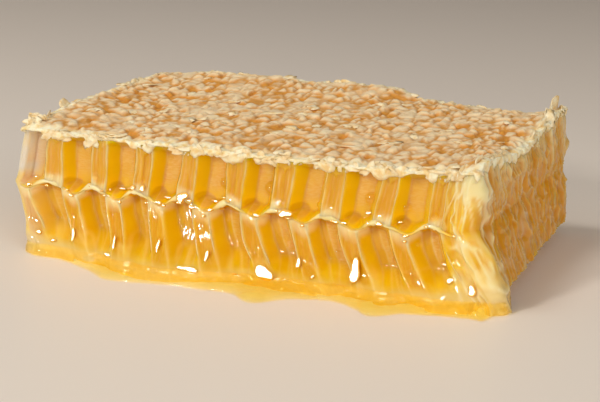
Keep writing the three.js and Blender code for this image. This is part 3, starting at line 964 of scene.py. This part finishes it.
def cap_relief(u, v):
    """Height of the cappings above their edge plane, and how deep in a crevice each point is."""
    flat = flat_points(u, v)
    warped = np.stack([u + 0.9 * rough(flat, 2.4, 21), v + 0.9 * rough(flat, 2.4, 22)], axis=-1)
    first, second, tag, way = scattered(warped, FLAKE_PITCH, 300)
    border = second - first
    open_here = smoothstep(noise(flat, 3.0, 26), -0.7, 0.3)
    crevice = (1 - smoothstep(border, 0.0, CREVICE_WIDTH)) * (0.3 + 0.7 * open_here)
    turn = 2 * math.pi * tag
    tilt = FLAKE_TILT * (way[..., 0] * np.cos(turn) + way[..., 1] * np.sin(turn))
    rounded = 0.5 + 0.5 * smoothstep(border, 0.0, FLAKE_ROUNDING)
    relief = FLAKE_HEIGHT * (0.3 + 0.7 * tag) * rounded + tilt * (1 - crevice)
    relief = relief * (1 - 0.8 * crevice) + 0.16 * rough(flat, 1.2, 24) + 0.25 * noise(flat, 14.0, 25)
    hollow = smoothstep(noise(flat, 1.9, 27), 0.25, 0.75)
    return relief - 0.4 * hollow, unit(crevice + hollow)


CAP_EDGE_SCALE = (40, 23)
CAP_EDGE_POWER = 12
CAP_RIM_LOOPS = 7
CAP_RIM_WIDTH = 2.0
CAP_HANG = 1.5
CAP_ARCH = 2.0
CAP_TORN = (42, 44)
CAP_CLOSING = [(2.0, 20.0), (7.0, 18.5)]


def grid_loop(columns, rows):
    """The points round the edge of a grid, counter-clockwise from its first point."""
    loop = list(range(columns - 1)) + [columns - 1 + columns * j for j in range(rows - 1)]
    loop += [columns * rows - 1 - i for i in range(columns - 1)]
    return np.array(loop + [columns * (rows - 1) - columns * j for j in range(rows - 1)])


def cap_hang(u, v):
    """How low the torn edge of the cappings hangs: high over the opened cells and low between them."""
    line = flat_points(u, v)
    over_cell = 1 - smoothstep(np.abs(from_wide(u, 0) + 0.6), 1.3, 3.2)
    arch = CAP_ARCH * over_cell * (0.7 + 0.5 * noise(line, 4.0, 34))
    low = CELLS_TOP - CAP_HANG + arch + 0.55 * rough(line, 1.9, 33, 4)
    low = low - 1.7 * smoothstep(u, *CAP_TORN) * np.clip(noise(line, 2.0, 36), -0.4, 1)
    return np.minimum(low, COMB_TOP - 0.1)


def cap_sheet(a, b):
    """The top face of the cappings over a grid: its straight points, how far within the rim each is, and how
    deep in a crevice."""
    edge_line = flat_points(a * CAP_EDGE_SCALE[0], b * CAP_EDGE_SCALE[1])
    over = (0.10 + 0.50 * rough(edge_line, 2.0, 31, 4)) * (1 - np.abs(a * b) ** CAP_EDGE_POWER)
    u = a * (LENGTH / 2 + over * np.abs(a) ** CAP_EDGE_POWER)
    v = b * (WIDTH / 2 + over * np.abs(b) ** CAP_EDGE_POWER)
    relief, crevice = cap_relief(u, v)
    rim = np.minimum(LENGTH / 2 - np.abs(a) * LENGTH / 2, WIDTH / 2 - np.abs(b) * WIDTH / 2)
    level = smoothstep(rim, 0.0, CAP_RIM_WIDTH)
    z = CELLS_TOP + CAP_THICKNESS + relief * (0.45 + 0.55 * level) - 0.25 * (1 - level)
    return u, v, z, rim, crevice * (0.5 + 0.5 * level)


def cap_rim(u, v, z, out):
    """The loops that carry the edge of the cappings down over the cut, and close it below."""
    line = flat_points(u, v)
    low = cap_hang(u, v)
    loops = []
    for k in range(1, CAP_RIM_LOOPS + 1):
        angle = math.pi * k / CAP_RIM_LOOPS
        bulge = 0.20 * math.sin(angle) + 0.22 * rough(line + [0, 0, 0.5 * k], 1.0, 35, 2)
        bulge = bulge - 0.8 * smoothstep(np.array(k / CAP_RIM_LOOPS), 0.6, 1.0)
        fall = (1 - math.cos(angle)) / 2
        loops.append(torn(*pushed(line, out, bulge), z + (low - z) * fall))
    for inset, height in CAP_CLOSING:
        within = shrunk(line[:, :2], inset)
        loops.append(torn(within[:, 0], within[:, 1], height))
    return loops


def make_cappings(material):
    """The upper cappings: a sheet of flakes with a torn edge that hangs over the cut."""
    columns, rows = int(LENGTH / CAP_STEP), int(WIDTH / CAP_STEP)
    a, b = unit_grid(columns, rows)
    u, v, z, rim, crevice = cap_sheet(a, b)
    loop = grid_loop(columns, rows)
    edge = np.stack([a.ravel()[loop], b.ravel()[loop]], axis=-1)
    out = np.where(np.abs(edge) > 0.9999, np.sign(edge), 0)
    out = out / np.linalg.norm(out, axis=-1, keepdims=True)
    loops = cap_rim(u.ravel()[loop], v.ravel()[loop], z.ravel()[loop], out)
    count = len(loop)
    faces = grid_faces(rows, columns)
    rings = [loop] + [columns * rows + k * count + np.arange(count) for k in range(len(loops))]
    for upper, lower in zip(rings, rings[1:]):
        faces += np.stack([lower, np.roll(lower, -1), np.roll(upper, -1), upper], axis=-1).tolist()
    faces.append(rings[-1][::-1].tolist())
    points = np.concatenate([torn(u, v, z).reshape(-1, 3)] + loops)
    masks = {
        "rim": np.concatenate([(1 - smoothstep(rim, 0.3, 3.0)).ravel(), np.ones(len(loops) * count)]),
        "crevice": np.concatenate([crevice.ravel(), np.zeros(len(loops) * count)]),
    }
    return mesh_piece("cappings_top", points, faces, material, masks)


def ball(levels, count):
    """A unit ball as points and outward faces, with one point at each pole."""
    polar = np.linspace(0, math.pi, levels + 2)[1:-1, None]
    angle = round_angles(count)[None, :]
    x, y = np.sin(polar) * np.cos(angle), np.sin(polar) * np.sin(angle)
    rows = np.stack([x, y, np.cos(polar) + 0 * angle], -1)
    points = np.concatenate([[[0, 0, 1]], rows.reshape(-1, 3), [[0, 0, -1]]])
    faces = [[0, 1 + i, 1 + (i + 1) % count] for i in range(count)]
    faces += [face[::-1] for face in grid_faces(levels, count, 1, around=True)]
    last = levels * count + 1
    faces += [[last, last - count + (i + 1) % count, last - count + i] for i in range(count)]
    return points, faces


def turned(points, tilt, roll, heading):
    """Points turned about X by tilt, then about Y by roll, then about Z by heading."""
    for (first, second), angle in (((1, 2), tilt), ((2, 0), roll), ((0, 1), heading)):
        points = points.copy()
        a, b = points[:, first].copy(), points[:, second].copy()
        points[:, first] = a * math.cos(angle) - b * math.sin(angle)
        points[:, second] = a * math.sin(angle) + b * math.cos(angle)
    return points


def joined(name, parts, faces, material, masks=None):
    """One piece of many copies of a shape: parts are their points, faces are those of one, and masks have
    one value each."""
    count = len(parts[0])
    every = [[i + count * k for i in face] for k in range(len(parts)) for face in faces]
    points = np.concatenate(parts)
    masks = {key: np.full(len(points), value) for key, value in (masks or {}).items()}
    return mesh_piece(name, points, every, material, masks)


EDGE_CRUMBS = 110
TOP_CRUMBS = 60
CORNER_CRUMBS = 16
CRUMB_SEED = 5


def edge_place(random):
    """A place on the cappings' edge and its heading, mostly at the front and the ends."""
    side = random.choice(4, p=[0.52, 0.10, 0.16, 0.22])
    along = 2 * random.random() - 1
    if side % 2 == 0:
        return along * LENGTH / 2, (-1 if side == 0 else 1) * WIDTH / 2, 0
    return (1 if side == 1 else -1) * LENGTH / 2, along * WIDTH / 2, math.pi / 2


def crumb(shape, size, turns, random):
    """An uneven scrap of wax round the origin."""
    lumps = 1 + 0.6 * rough(shape * 3 + random.random(3) * 40, 2.0, 37, 2)[:, None]
    return turned(shape * lumps * size / 2, *turns)


def edge_crumbs(shape, random):
    """Scraps of torn wax along the edges of the cappings."""
    for _ in range(EDGE_CRUMBS):
        u, v, heading = edge_place(random)
        long, wide = 1.5 + 2.6 * random.random() ** 2, 1.0 + 1.0 * random.random()
        size = np.array([long, wide, 0.35 + 0.3 * random.random()])
        turns = (1.2 * random.normal(), 0.35 * random.normal(), heading + 0.3 * random.normal())
        lift = CELLS_TOP + CAP_THICKNESS - 1.2 * random.random()
        inset = 1 - 0.012 * random.random()
        yield crumb(shape, size, turns, random) + torn(u * inset, v * inset, lift)


def top_crumbs(shape, random):
    """Scraps that lie flat on the cappings, more of them near the front."""
    for _ in range(TOP_CRUMBS):
        back = random.random() ** 1.6
        u, v = (2 * random.random() - 1) * (LENGTH / 2 - 1), -WIDTH / 2 + 0.8 + back * (WIDTH - 2)
        long, wide = 2.0 + 2.4 * random.random() ** 2, 1.2 + 1.0 * random.random()
        size = np.array([long, wide, 0.35 + 0.2 * random.random()])
        turns = (0.2 * random.normal(), 0.12 * random.normal(), 0.5 * random.normal())
        relief, _ = cap_relief(np.array([u]), np.array([v]))
        height = CELLS_TOP + CAP_THICKNESS + relief[0] * 0.8
        yield crumb(shape, size, turns, random) + torn(u, v, height)


def corner_crumbs(shape, random):
    """Scraps heaped at the left corner of the front."""
    for _ in range(CORNER_CRUMBS):
        u = -LENGTH / 2 + 0.6 + 2.2 * random.random() ** 2
        v = -WIDTH / 2 + 0.4 + 3.5 * random.random()
        size = np.array([1.2 + 1.4 * random.random(), 0.7, 0.9 + 0.8 * random.random()])
        turns = (0.4 * random.normal(), 0.4 * random.normal(), 3 * random.random())
        yield crumb(shape, size, turns, random) + torn(u, v, CELLS_TOP + 0.8 + 0.6 * random.random())


def make_crumbs(material):
    """The torn scraps of wax on the cappings."""
    random = np.random.default_rng(CRUMB_SEED)
    shape, faces = ball(7, 12)
    parts = [part for crumbs in (edge_crumbs, top_crumbs, corner_crumbs) for part in crumbs(shape, random)]
    return joined("capping_scraps", parts, faces, material, {"rim": 0.85, "crevice": 0.0})


# Torn flakes that stand up along the right end: place, width, height and how far they curl outwards.
FLAKES = [
    (42.8, 23.2, 5.6, 2.5, 0.8), (43.4, 18.0, 5.0, 1.4, 0.7), (43.8, 12.5, 5.2, 1.1, 0.9),
    (44.0, 6.0, 4.4, 0.8, 0.7), (43.8, -11.5, 4.6, 0.7, 0.5), (43.6, -17.5, 5.4, 0.9, 0.7),
    (43.2, -22.4, 5.0, 0.9, 0.5), (40.6, -24.8, 4.6, 0.6, 0.3),
]
FLAKE_THICKNESS = 0.6
FLAKE_ROOT = 1.6


def make_flakes(material):
    """The torn sheets that stand up on the right end."""
    shape, faces = ball(13, 18)
    x, y, z = shape.T
    rise = (x + 1) / 2
    parts = []
    for n, (u, v, wide, high, curl) in enumerate(FLAKES):
        ragged = 1 + 0.22 * rough(np.stack([3 * y, 0 * y + 9 * n, 2 * x], axis=-1), 1.2, 38, 3)
        up = (high + FLAKE_ROOT) * rise * ragged - FLAKE_ROOT
        across = wide / 2 * np.sign(y) * np.abs(y) ** 0.7 * (1 - 0.2 * rise) * ragged
        out = FLAKE_THICKNESS / 2 * z + curl * rise**2 + 0.25 * np.sin(4 * y + n)
        foot = torn(u + out, v + across, CELLS_TOP + 0.6 + 0 * up)
        parts.append(foot + np.stack([0 * up, 0 * up, up], axis=-1))
    return joined("capping_flakes", parts, faces, material, {"rim": 1.0, "crevice": 0.0})


BASE_INSET = 3.0
BASE_GRID = (120, 60)


def make_base(material):
    """The lower cappings: a plain sheet under the comb."""
    a, b = unit_grid(*BASE_GRID)
    u, v = a * (LENGTH / 2 - BASE_INSET), b * (WIDTH / 2 - BASE_INSET)
    top, under = (bend(u, v, height).reshape(-1, 3) for height in (BASE_CAPPING, 0))
    count = a.size
    sheet = grid_faces(*a.shape)
    loop = grid_loop(*BASE_GRID)
    after = np.roll(loop, -1)
    side = np.stack([loop + count, after + count, after, loop], axis=-1).tolist()
    faces = sheet + [[i + count for i in face[::-1]] for face in sheet] + side
    masks = {"rim": np.zeros(2 * count), "crevice": np.zeros(2 * count)}
    return mesh_piece("cappings_base", np.concatenate([top, under]), faces, material, masks)


# ---------------------------------------------------------------- run-out honey

FOOT_UNDER = 0.15
FOOT_INSIDE = 1.4
FOOT_LEAST_RUN = 0.03
FOOT_SMOOTHING = 1.9
FOOT_SAMPLES = 9
FOOT_COLUMNS = 44
FOOT_COLUMN_CROWD = 1.25


def foot_height(out):
    """Height of the honey at the foot over the ground; out goes from 0 at the wall to 1 at its edge."""
    bank = (FOOT_HEIGHT - FOOT_EDGE) * (1 - out) ** FOOT_CROWD
    return (FOOT_EDGE + bank) * np.sqrt(1 - (1 - FOOT_LIP**2) * out**8)


def foot_reach(place, side):
    """How far the honey at the foot reaches out from the wall over it."""
    x = bend(place[:, 0], place[:, 1], 0)[..., 0]
    at, out = np.array(FOOT_OUTLINE).T
    shifts = np.linspace(-FOOT_SMOOTHING, FOOT_SMOOTHING, FOOT_SAMPLES)
    outline = sum(np.interp(x + shift, at, out) for shift in shifts) / FOOT_SAMPLES
    reach = outline - flare_at(place[:, 0], place[:, 1])
    return soft_max(np.where(side == FRONT, reach, 0), FOOT_LEAST_OUT, 1.0)


def make_run(material):
    """The clear honey at the foot of the front: one closed profile, swept along the wall it ran down."""
    keep = run_share(RING[4]) > FOOT_LEAST_RUN
    place, normal, side, along, travelled = (column[keep] for column in RING)
    travelled = travelled[:, None]
    run = run_share(travelled)
    floor = bend(place[:, 0], place[:, 1], 0)[:, 2:]
    ground = ground_at(travelled, floor)
    middle = bend(place[:, 0], place[:, 1], MIDRIB_Z)[:, 2:]
    reach = foot_reach(place, side)[:, None] * run

    def on_wall(height, outward):
        """Points at a height over the floor, standing outward of the comb's side there."""
        z = np.maximum(0, MIDRIB_Z * (height - floor) / (middle - floor))
        h = z - MIDRIB_Z
        depth, _ = cut_depth(side[:, None] + 0 * z, along[:, None] + 0 * z, travelled, h, True)
        depth = run_over(depth, travelled, h) - end_swell(travelled, h)
        out = outward - depth
        at = bend(place[:, :1] + normal[:, :1] * out, place[:, 1:] + normal[:, 1:] * out, z)
        at[..., 2] = height
        return at

    out = (1 - (1 - np.linspace(0, 1, FOOT_COLUMNS)) ** FOOT_COLUMN_CROWD)[None, :]
    height = ground + foot_height(out) * (0.2 + 0.8 * run)
    foot = on_wall(height, -0.35 * (1 - smoothstep(out, 0, 0.2)))
    foot[..., :2] += normal[:, None, :] * (reach * out)[..., None]
    ripple = 0.26 * rough(foot * [1, 1, 0], 3.6, 65, 2)
    ripple = ripple + 0.34 * noise(ring_point(travelled, reach * out), (6.0, 9, 1.3), 66)
    foot[..., 2] += (foot[..., 2] - ground) * ripple * smoothstep(out, 0.1, 0.4)
    below = foot[:, ::-1].copy()
    below[..., 2] = ground - FOOT_UNDER
    inner = on_wall(height[:, :1], -FOOT_INSIDE)
    inner_foot = inner * [1, 1, 0] + [0, 0, 1] * (ground - FOOT_UNDER)[..., None]
    points = np.concatenate([foot, below, inner_foot, inner], axis=1)
    count, size = points.shape[:2]
    return mesh_piece("honey_run", points.reshape(-1, 3), tube_faces(count, size), material)


# ---------------------------------------------------------------- drops

DROP_LEVELS = 9
DROP_ROUND = 16
DROP_ROOT = 0.9
DROP_CROWN = 0.03
DROP_PROUD = 0.32
DROP_PROUD_BY = 0.06

# Wet spots on the front: place along it and height, width and height. They lean back by GLINT_TILT and
# turn with the place along the front, so that each mirrors the key lamp.
FLAT_DROPS = [
    (-10.8, 11.9, 2.1, 1.7), (9.5, 11.2, 2.2, 1.5), (-14.8, 10.7, 1.5, 0.6), (-5.5, 11.0, 1.4, 0.5),
    (3.8, 10.2, 1.7, 0.5), (-19.2, 12.4, 1.2, 1.0), (23.8, 12.2, 1.3, 0.5), (30.0, 11.4, 1.0, 0.5),
    (-24.5, 11.2, 1.1, 0.5), (20.2, 10.6, 1.6, 0.4), (-34.0, 3.4, 0.8, 2.3), (-24.8, 3.4, 0.7, 2.6),
    (-15.2, 4.2, 0.8, 2.6), (-5.8, 3.6, 0.7, 2.6), (11.2, 4.0, 0.8, 2.4), (-8.8, 1.9, 3.8, 1.1),
    (5.0, 1.9, 3.6, 3.4), (21.8, 3.9, 2.2, 3.8), (37.5, 5.2, 1.2, 0.5), (38.5, 3.2, 1.4, 1.1),
    (-38.5, 1.8, 1.0, 0.8), (-41.5, 2.6, 1.0, 0.9), (-25.8, 1.8, 1.5, 0.8), (41.5, 1.6, 1.7, 1.7),
    (-0.8, 1.4, 1.5, 0.7), (13.8, 2.4, 0.7, 0.7),
]
# Round blobs of clear honey on the front: place along it, height and size.
ROUND_DROPS = [
    (-4.2, 14.4, 1.9), (5.0, 14.4, 2.6), (23.8, 14.6, 2.4), (30.5, 13.6, 2.0), (15.2, 13.0, 1.4),
    (-19.6, 13.6, 1.3), (-29.5, 13.4, 1.1), (36.5, 13.0, 1.6), (-9.4, 6.4, 1.0), (-27.5, 5.8, 0.9),
    (0.8, 5.2, 1.1), (17.4, 5.4, 1.0), (28.4, 5.4, 1.2), (-17.8, 6.2, 0.9), (7.6, 6.4, 0.9),
    (-36.4, 5.6, 0.9), (33.0, 8.0, 1.0),
]
MIDRIB_DROPS = 40
DROP_SEED = 8
GLINT_TILT = 0.427
GLINT_TURN = 0.025
GLINT_TURN_BY = -0.002


def small_drops():
    """Small wet spots along the midrib, as the other flat drops are given."""
    random = np.random.default_rng(DROP_SEED)
    found = []
    for u in np.sort(random.random(MIDRIB_DROPS)) * (LENGTH - 4) - LENGTH / 2 + 2:
        z = MIDRIB_Z + midrib_at(FRONT, u) + 0.5 * random.normal()
        found.append((u, z, 0.5 + 1.3 * random.random() ** 2, 0.3 + 0.35 * random.random()))
    return found


def on_front(u, z):
    """The depth of the comb's front at one place, all that was smeared over it included."""
    side, along, h = np.array([FRONT]), np.array([u]), np.array([z - MIDRIB_Z])
    depth, _ = cut_depth(side, along, along, h, z < MIDRIB_Z)
    if z < MIDRIB_Z:
        depth = run_over(depth, along, h)
    return float(depth[0] - end_swell(along, h)[0])


def make_drops(material):
    """The flat wet spots on the front."""
    shape, faces = ball(DROP_LEVELS, DROP_ROUND)
    angle = np.arctan2(shape[:, 1], shape[:, 0])
    parts = []
    for n, (u, z, wide, high) in enumerate(FLAT_DROPS + small_drops()):
        ragged = 1 + 0.22 * np.sin(2 * angle + n) + 0.14 * np.sin(3 * angle + 2 * n)
        face = shape * [wide / 2, high / 2, 0] * ragged[:, None]
        face[:, 2] = np.where(shape[:, 2] > 0, DROP_CROWN * shape[:, 2], DROP_ROOT * shape[:, 2])
        face = turned(face, math.pi / 2 - GLINT_TILT, 0, GLINT_TURN + GLINT_TURN_BY * u)
        proud = DROP_PROUD + DROP_PROUD_BY * wide * high
        parts.append(face + bend(u, -WIDTH / 2 + on_front(u, z) - proud, z))
    return joined("honey_drops", parts, faces, material)


def make_bubbles(material):
    """Small round blobs of clear honey on the front."""
    shape, faces = ball(DROP_LEVELS, DROP_ROUND)
    parts = []
    for u, z, size in ROUND_DROPS:
        body = shape * [size / 2, size / 2, 0.45 * size]
        parts.append(turned(body, math.pi / 2, 0, 0) + bend(u, -WIDTH / 2 + on_front(u, z) + 0.1, z))
    return joined("honey_bubbles", parts, faces, material)


# ---------------------------------------------------------------- materials

SOFT_RADIUS = (1.0, 0.95, 0.8)


def linear(*color):
    """A colour given as the eye reads it, 0 to 255, as the linear values Blender takes."""
    return [((c / 255 + 0.055) / 1.055) ** 2.4 if c > 10 else c / 255 / 12.92 for c in color] + [1]


class Paint:
    """A material under construction. Its methods add nodes, and most give back the output of theirs."""

    def __init__(self, name):
        self.material = bpy.data.materials.new(name)
        self.material.use_nodes = True
        self.nodes = self.material.node_tree.nodes
        self.shader = self.nodes["Principled BSDF"]

    def give(self, node, inputs):
        """Links each of the inputs to an output, or sets it to a plain value."""
        for key, value in inputs.items():
            if isinstance(value, bpy.types.NodeSocket):
                self.material.node_tree.links.new(value, node.inputs[key])
            else:
                node.inputs[key].default_value = value

    def add(self, kind, inputs):
        node = self.nodes.new(kind)
        self.give(node, inputs)
        return node

    def attribute(self, name):
        node = self.nodes.new("ShaderNodeAttribute")
        node.attribute_name = name
        return node

    def mask(self, name):
        return self.attribute(name).outputs["Fac"]

    def mixed(self, factor, first, second):
        """The colour that goes from first to second as the factor goes from 0 to 1."""
        node = self.nodes.new("ShaderNodeMix")
        node.data_type = "RGBA"
        self.give(node, {0: factor, 6: first, 7: second})
        return node.outputs[2]

    def noise(self, scale, detail):
        where = self.nodes.new("ShaderNodeTexCoord").outputs["Object"]
        inputs = {"Vector": where, "Scale": scale, "Detail": detail}
        return self.add("ShaderNodeTexNoise", inputs).outputs["Fac"]

    def straight_noise(self, sizes, detail):
        """Noise in the straight block's millimetres, with features of the given sizes along its axes."""
        node = self.nodes.new("ShaderNodeVectorMath")
        node.operation = "DIVIDE"
        self.give(node, {0: self.attribute("straight").outputs["Vector"], 1: sizes})
        inputs = {"Vector": node.outputs["Vector"], "Scale": 1.0, "Detail": detail}
        return self.add("ShaderNodeTexNoise", inputs).outputs["Fac"]

    def ramp(self, value, low, high):
        """Value carried from low..high to 0..1."""
        inputs = {"Value": value, "From Min": low, "From Max": high}
        return self.add("ShaderNodeMapRange", inputs).outputs["Result"]

    def product(self, first, second):
        node = self.nodes.new("ShaderNodeMath")
        node.operation = "MULTIPLY"
        self.give(node, {0: first, 1: second})
        return node.outputs["Value"]

    def bump(self, height, strength, distance):
        inputs = {"Height": height, "Strength": strength, "Distance": distance}
        return self.add("ShaderNodeBump", inputs).outputs["Normal"]


def comb_material():
    """Honey seen in the opened cells: amber, pinkish where the wax of a cell wall lies close behind, with
    fine ripples and threads in it, and pale lines of wax. Over it lie a painted glow of light through the
    honey, painted shade on the right end, and painted shade on the up-turned toe."""
    paint = Paint("comb_honey")
    ripples = paint.ramp(paint.straight_noise((0.9, 0.9, 0.24), 3), 0.40, 0.62)
    threads = paint.ramp(paint.straight_noise((0.35, 0.35, 3.6), 2), 0.50, 0.66)
    threads = paint.product(paint.mask("strip"), threads)
    edge = paint.mask("edge")
    pinkish = paint.mixed(ripples, linear(236, 178, 64), linear(242, 193, 96))
    color = paint.mixed(paint.mask("pale"), linear(238, 190, 3), pinkish)
    layers = [
        # Painted glow: bright yellow where light comes through the honey.
        (paint.mask("painted_glow"), (248, 196, 6)),
        (paint.mask("pit"), (220, 154, 0)),
        # Painted shade on the right end.
        (paint.mask("painted_shade"), (214, 144, 8)),
        (paint.product(threads, 0.35), (252, 216, 140)),
        # The toe's pale honey colour, kept darker where it faces up into the lamps: its own colour and partly
        # painted shade.
        (paint.mask("cloud"), (249, 210, 108)),
        (paint.product(edge, 0.85), (226, 190, 106)),
        (paint.mask("clear"), (216, 210, 200)),
        (paint.mask("wax"), (248, 226, 168)),
    ]
    for share, tone in layers:
        color = paint.mixed(share, color, linear(*tone))
    paint.give(paint.shader, {
        "Base Color": color,
        "Roughness": 0.5,
        "Specular IOR Level": 0.1,
        "Subsurface Weight": paint.ramp(edge, 1.0, 0.0),
        "Subsurface Radius": SOFT_RADIUS,
        "Subsurface Scale": 0.0025,
        "Coat Weight": 1.0,
        "Coat Roughness": 0.04,
        "Normal": paint.bump(paint.straight_noise((0.5, 0.5, 0.5), 2), 0.5, 0.00003),
    })
    return paint.material


def wall_material():
    """Bare wax of the cut walls, with gold honey on it away from the nodes of the midrib."""
    paint = Paint("comb_wax")
    wax = paint.mixed(paint.noise(420, 3), linear(253, 222, 130), linear(255, 242, 200))
    paint.give(paint.shader, {
        "Base Color": paint.mixed(paint.mask("node"), linear(248, 198, 60), wax),
        "Roughness": 0.3,
        "Subsurface Weight": 0.6,
        "Subsurface Radius": SOFT_RADIUS,
        "Subsurface Scale": 0.0008,
        "Coat Weight": 1.0,
        "Coat Roughness": 0.04,
        "Normal": paint.bump(paint.noise(700, 2), 0.5, 0.0003),
    })
    return paint.material


def cap_material(name, soft):
    """Dry wax, mottled, tan-amber in the crevices: honey showing through, and painted shade there; soft is
    how much light it lets through.
    """
    paint = Paint(name)
    color = paint.mixed(paint.noise(330, 4), linear(232, 190, 136), linear(255, 238, 200))
    # Crevices between the flakes: the amber-brown of honey showing through, and painted shade in them.
    color = paint.mixed(paint.mask("crevice"), color, linear(218, 150, 66))
    mottled = paint.ramp(paint.noise(900, 3), 0.35, 0.62)
    rim = paint.mixed(mottled, linear(240, 206, 142), linear(255, 242, 206))
    paint.give(paint.shader, {
        "Base Color": paint.mixed(paint.mask("rim"), color, rim),
        "Roughness": 0.6,
        "Specular IOR Level": 0.15,
        "Subsurface Weight": soft,
        "Subsurface Radius": (1.0, 0.9, 0.7),
        "Subsurface Scale": 0.001,
        "Normal": paint.bump(paint.noise(1500, 3), 0.4, 0.0002),
    })
    return paint.material


def honey_material():
    """Clear honey: it lets the lamps' light through, so that what lies under it is lit."""
    paint = Paint("clear_honey")
    paint.give(paint.shader, {
        "Base Color": (1, 1, 1, 1),
        "Roughness": 0.0,
        "IOR": 1.48,
        "Transmission Weight": 1.0,
    })
    clear = paint.add("ShaderNodeBsdfTransparent", {"Color": linear(232, 222, 160)})
    path = paint.add("ShaderNodeLightPath", {})
    inputs = {0: path.outputs["Is Shadow Ray"], 1: paint.shader.outputs[0], 2: clear.outputs[0]}
    surface = paint.add("ShaderNodeMixShader", inputs)
    volume = paint.add("ShaderNodeVolumeAbsorption", {"Color": (0.94, 0.83, 0.03, 1), "Density": 440})
    output = paint.nodes["Material Output"]
    paint.give(output, {"Surface": surface.outputs[0], "Volume": volume.outputs[0]})
    return paint.material


def drop_material():
    """The wet spots on the comb: they take its colour, and their skin mirrors the key lamp."""
    paint = Paint("honey_drops")
    paint.give(paint.shader, {
        "Base Color": linear(236, 172, 40),
        "Roughness": 0.4,
        "Coat Weight": 1.0,
        "Coat Roughness": 0.02,
    })
    return paint.material


def floor_material():
    paint = Paint("floor")
    color = paint.mixed(paint.mask("far"), linear(248, 236, 222), linear(160, 149, 140))
    paint.give(paint.shader, {"Base Color": color, "Roughness": 0.5})
    return paint.material


# ---------------------------------------------------------------- stage

# The floor in metres: half its width, where it runs flat, and how it turns up into a wall behind.
FLOOR_HALF = 2.5
FLOOR_FLAT = [(-1.2, 0), (-0.2, 0), (0.05, 0), (0.3, 0), (0.6, 0)]
WALL_FROM = 0.6
WALL_CURVE = 0.4
WALL_TOP = 1.6
FAR_FROM = 0.04
LAMP_COLOR = (1.0, 0.98, 0.95)
LAMP_AIM = (0, 0, 0.01)
WORLD_COLOR = (0.9, 0.87, 0.83, 1)
WORLD_STRENGTH = 0.3


def make_stage():
    """A pale floor that turns up into a wall behind, darker towards the back."""
    turn = np.linspace(0.1, math.pi / 2, 12)
    curve = [(WALL_FROM + WALL_CURVE * math.sin(t), WALL_CURVE - WALL_CURVE * math.cos(t)) for t in turn]
    rows = FLOOR_FLAT + curve + [(WALL_FROM + WALL_CURVE, WALL_TOP)]
    points = [(x, y, z) for y, z in rows for x in (-FLOOR_HALF, FLOOR_HALF)]
    mesh = bpy.data.meshes.new("floor")
    mesh.from_pydata(points, [], [[2 * i, 2 * i + 1, 2 * i + 3, 2 * i + 2] for i in range(len(rows) - 1)])
    far = mesh.attributes.new("far", "FLOAT", "POINT")
    far.data.foreach_set("value", [float(smoothstep(y, FAR_FROM, WALL_FROM)) for _, y, _ in points])
    mesh.polygons.foreach_set("use_smooth", [True] * len(mesh.polygons))
    mesh.materials.append(floor_material())
    stage = placed("floor", mesh)


def lamp(name, place, size, power):
    """An area lamp turned to the piece."""
    data = bpy.data.lights.new(name, "AREA")
    data.shape = "RECTANGLE"
    data.size, data.size_y = size
    data.energy = power
    data.color = LAMP_COLOR
    light = placed(name, data)
    light.location = place
    light.rotation_euler = (Vector(LAMP_AIM) - Vector(place)).to_track_quat("-Z", "Y").to_euler()
    return light


def make_lights():
    """The key lamp, which the wet spots mirror, two lamps that show in no mirror, and the pale world."""
    lamp("key", (-0.36, -0.74, 0.42), (0.13, 0.13), 2.9)
    lamp("fill", (0.75, -0.75, 0.40), (0.9, 0.7), 5.2).visible_glossy = False
    lamp("top", (-0.25, -0.15, 0.75), (0.22, 0.22), 1.5).visible_glossy = False
    world = bpy.data.worlds.new("studio")
    world.use_nodes = True
    background = world.node_tree.nodes["Background"]
    background.inputs["Color"].default_value = WORLD_COLOR
    background.inputs["Strength"].default_value = WORLD_STRENGTH
    bpy.context.scene.world = world


def make_camera():
    back = Vector((
        math.sin(AZIMUTH) * math.cos(ELEVATION),
        -math.cos(AZIMUTH) * math.cos(ELEVATION),
        math.sin(ELEVATION),
    ))
    data = bpy.data.cameras.new("camera")
    data.lens = LENS
    data.sensor_width = SENSOR
    camera = placed("camera", data)
    camera.location = (Vector(TARGET) - Vector(ORIGIN) + back * DISTANCE) * MM
    camera.rotation_mode = "QUATERNION"
    camera.rotation_quaternion = back.to_track_quat("Z", "Y")
    bpy.context.scene.camera = camera


def dress(piece, slot, *nodes):
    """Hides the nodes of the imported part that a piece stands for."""
    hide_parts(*nodes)


make_camera()
dress(make_comb(comb_material()), "honey", "upper_honey", "lower_honey")
dress(make_walls(wall_material()), "comb_wax", "wax_comb")
cappings = cap_material("cappings", 0.5)
scraps = cap_material("capping_scraps", 0.0)
dress(make_cappings(cappings), "cappings", "top_cappings")
dress(make_crumbs(scraps), "cappings", "top_cappings")
dress(make_flakes(scraps), "cappings", "top_cappings")
dress(make_base(cappings), "cappings", "base_cappings")
clear = honey_material()
dress(make_run(clear), "honey", "lower_honey")
dress(make_bubbles(clear), "honey", "upper_honey")
dress(make_drops(drop_material()), "honey", "upper_honey")
make_stage()
make_lights()
bpy.context.scene.view_settings.view_transform = "Standard"
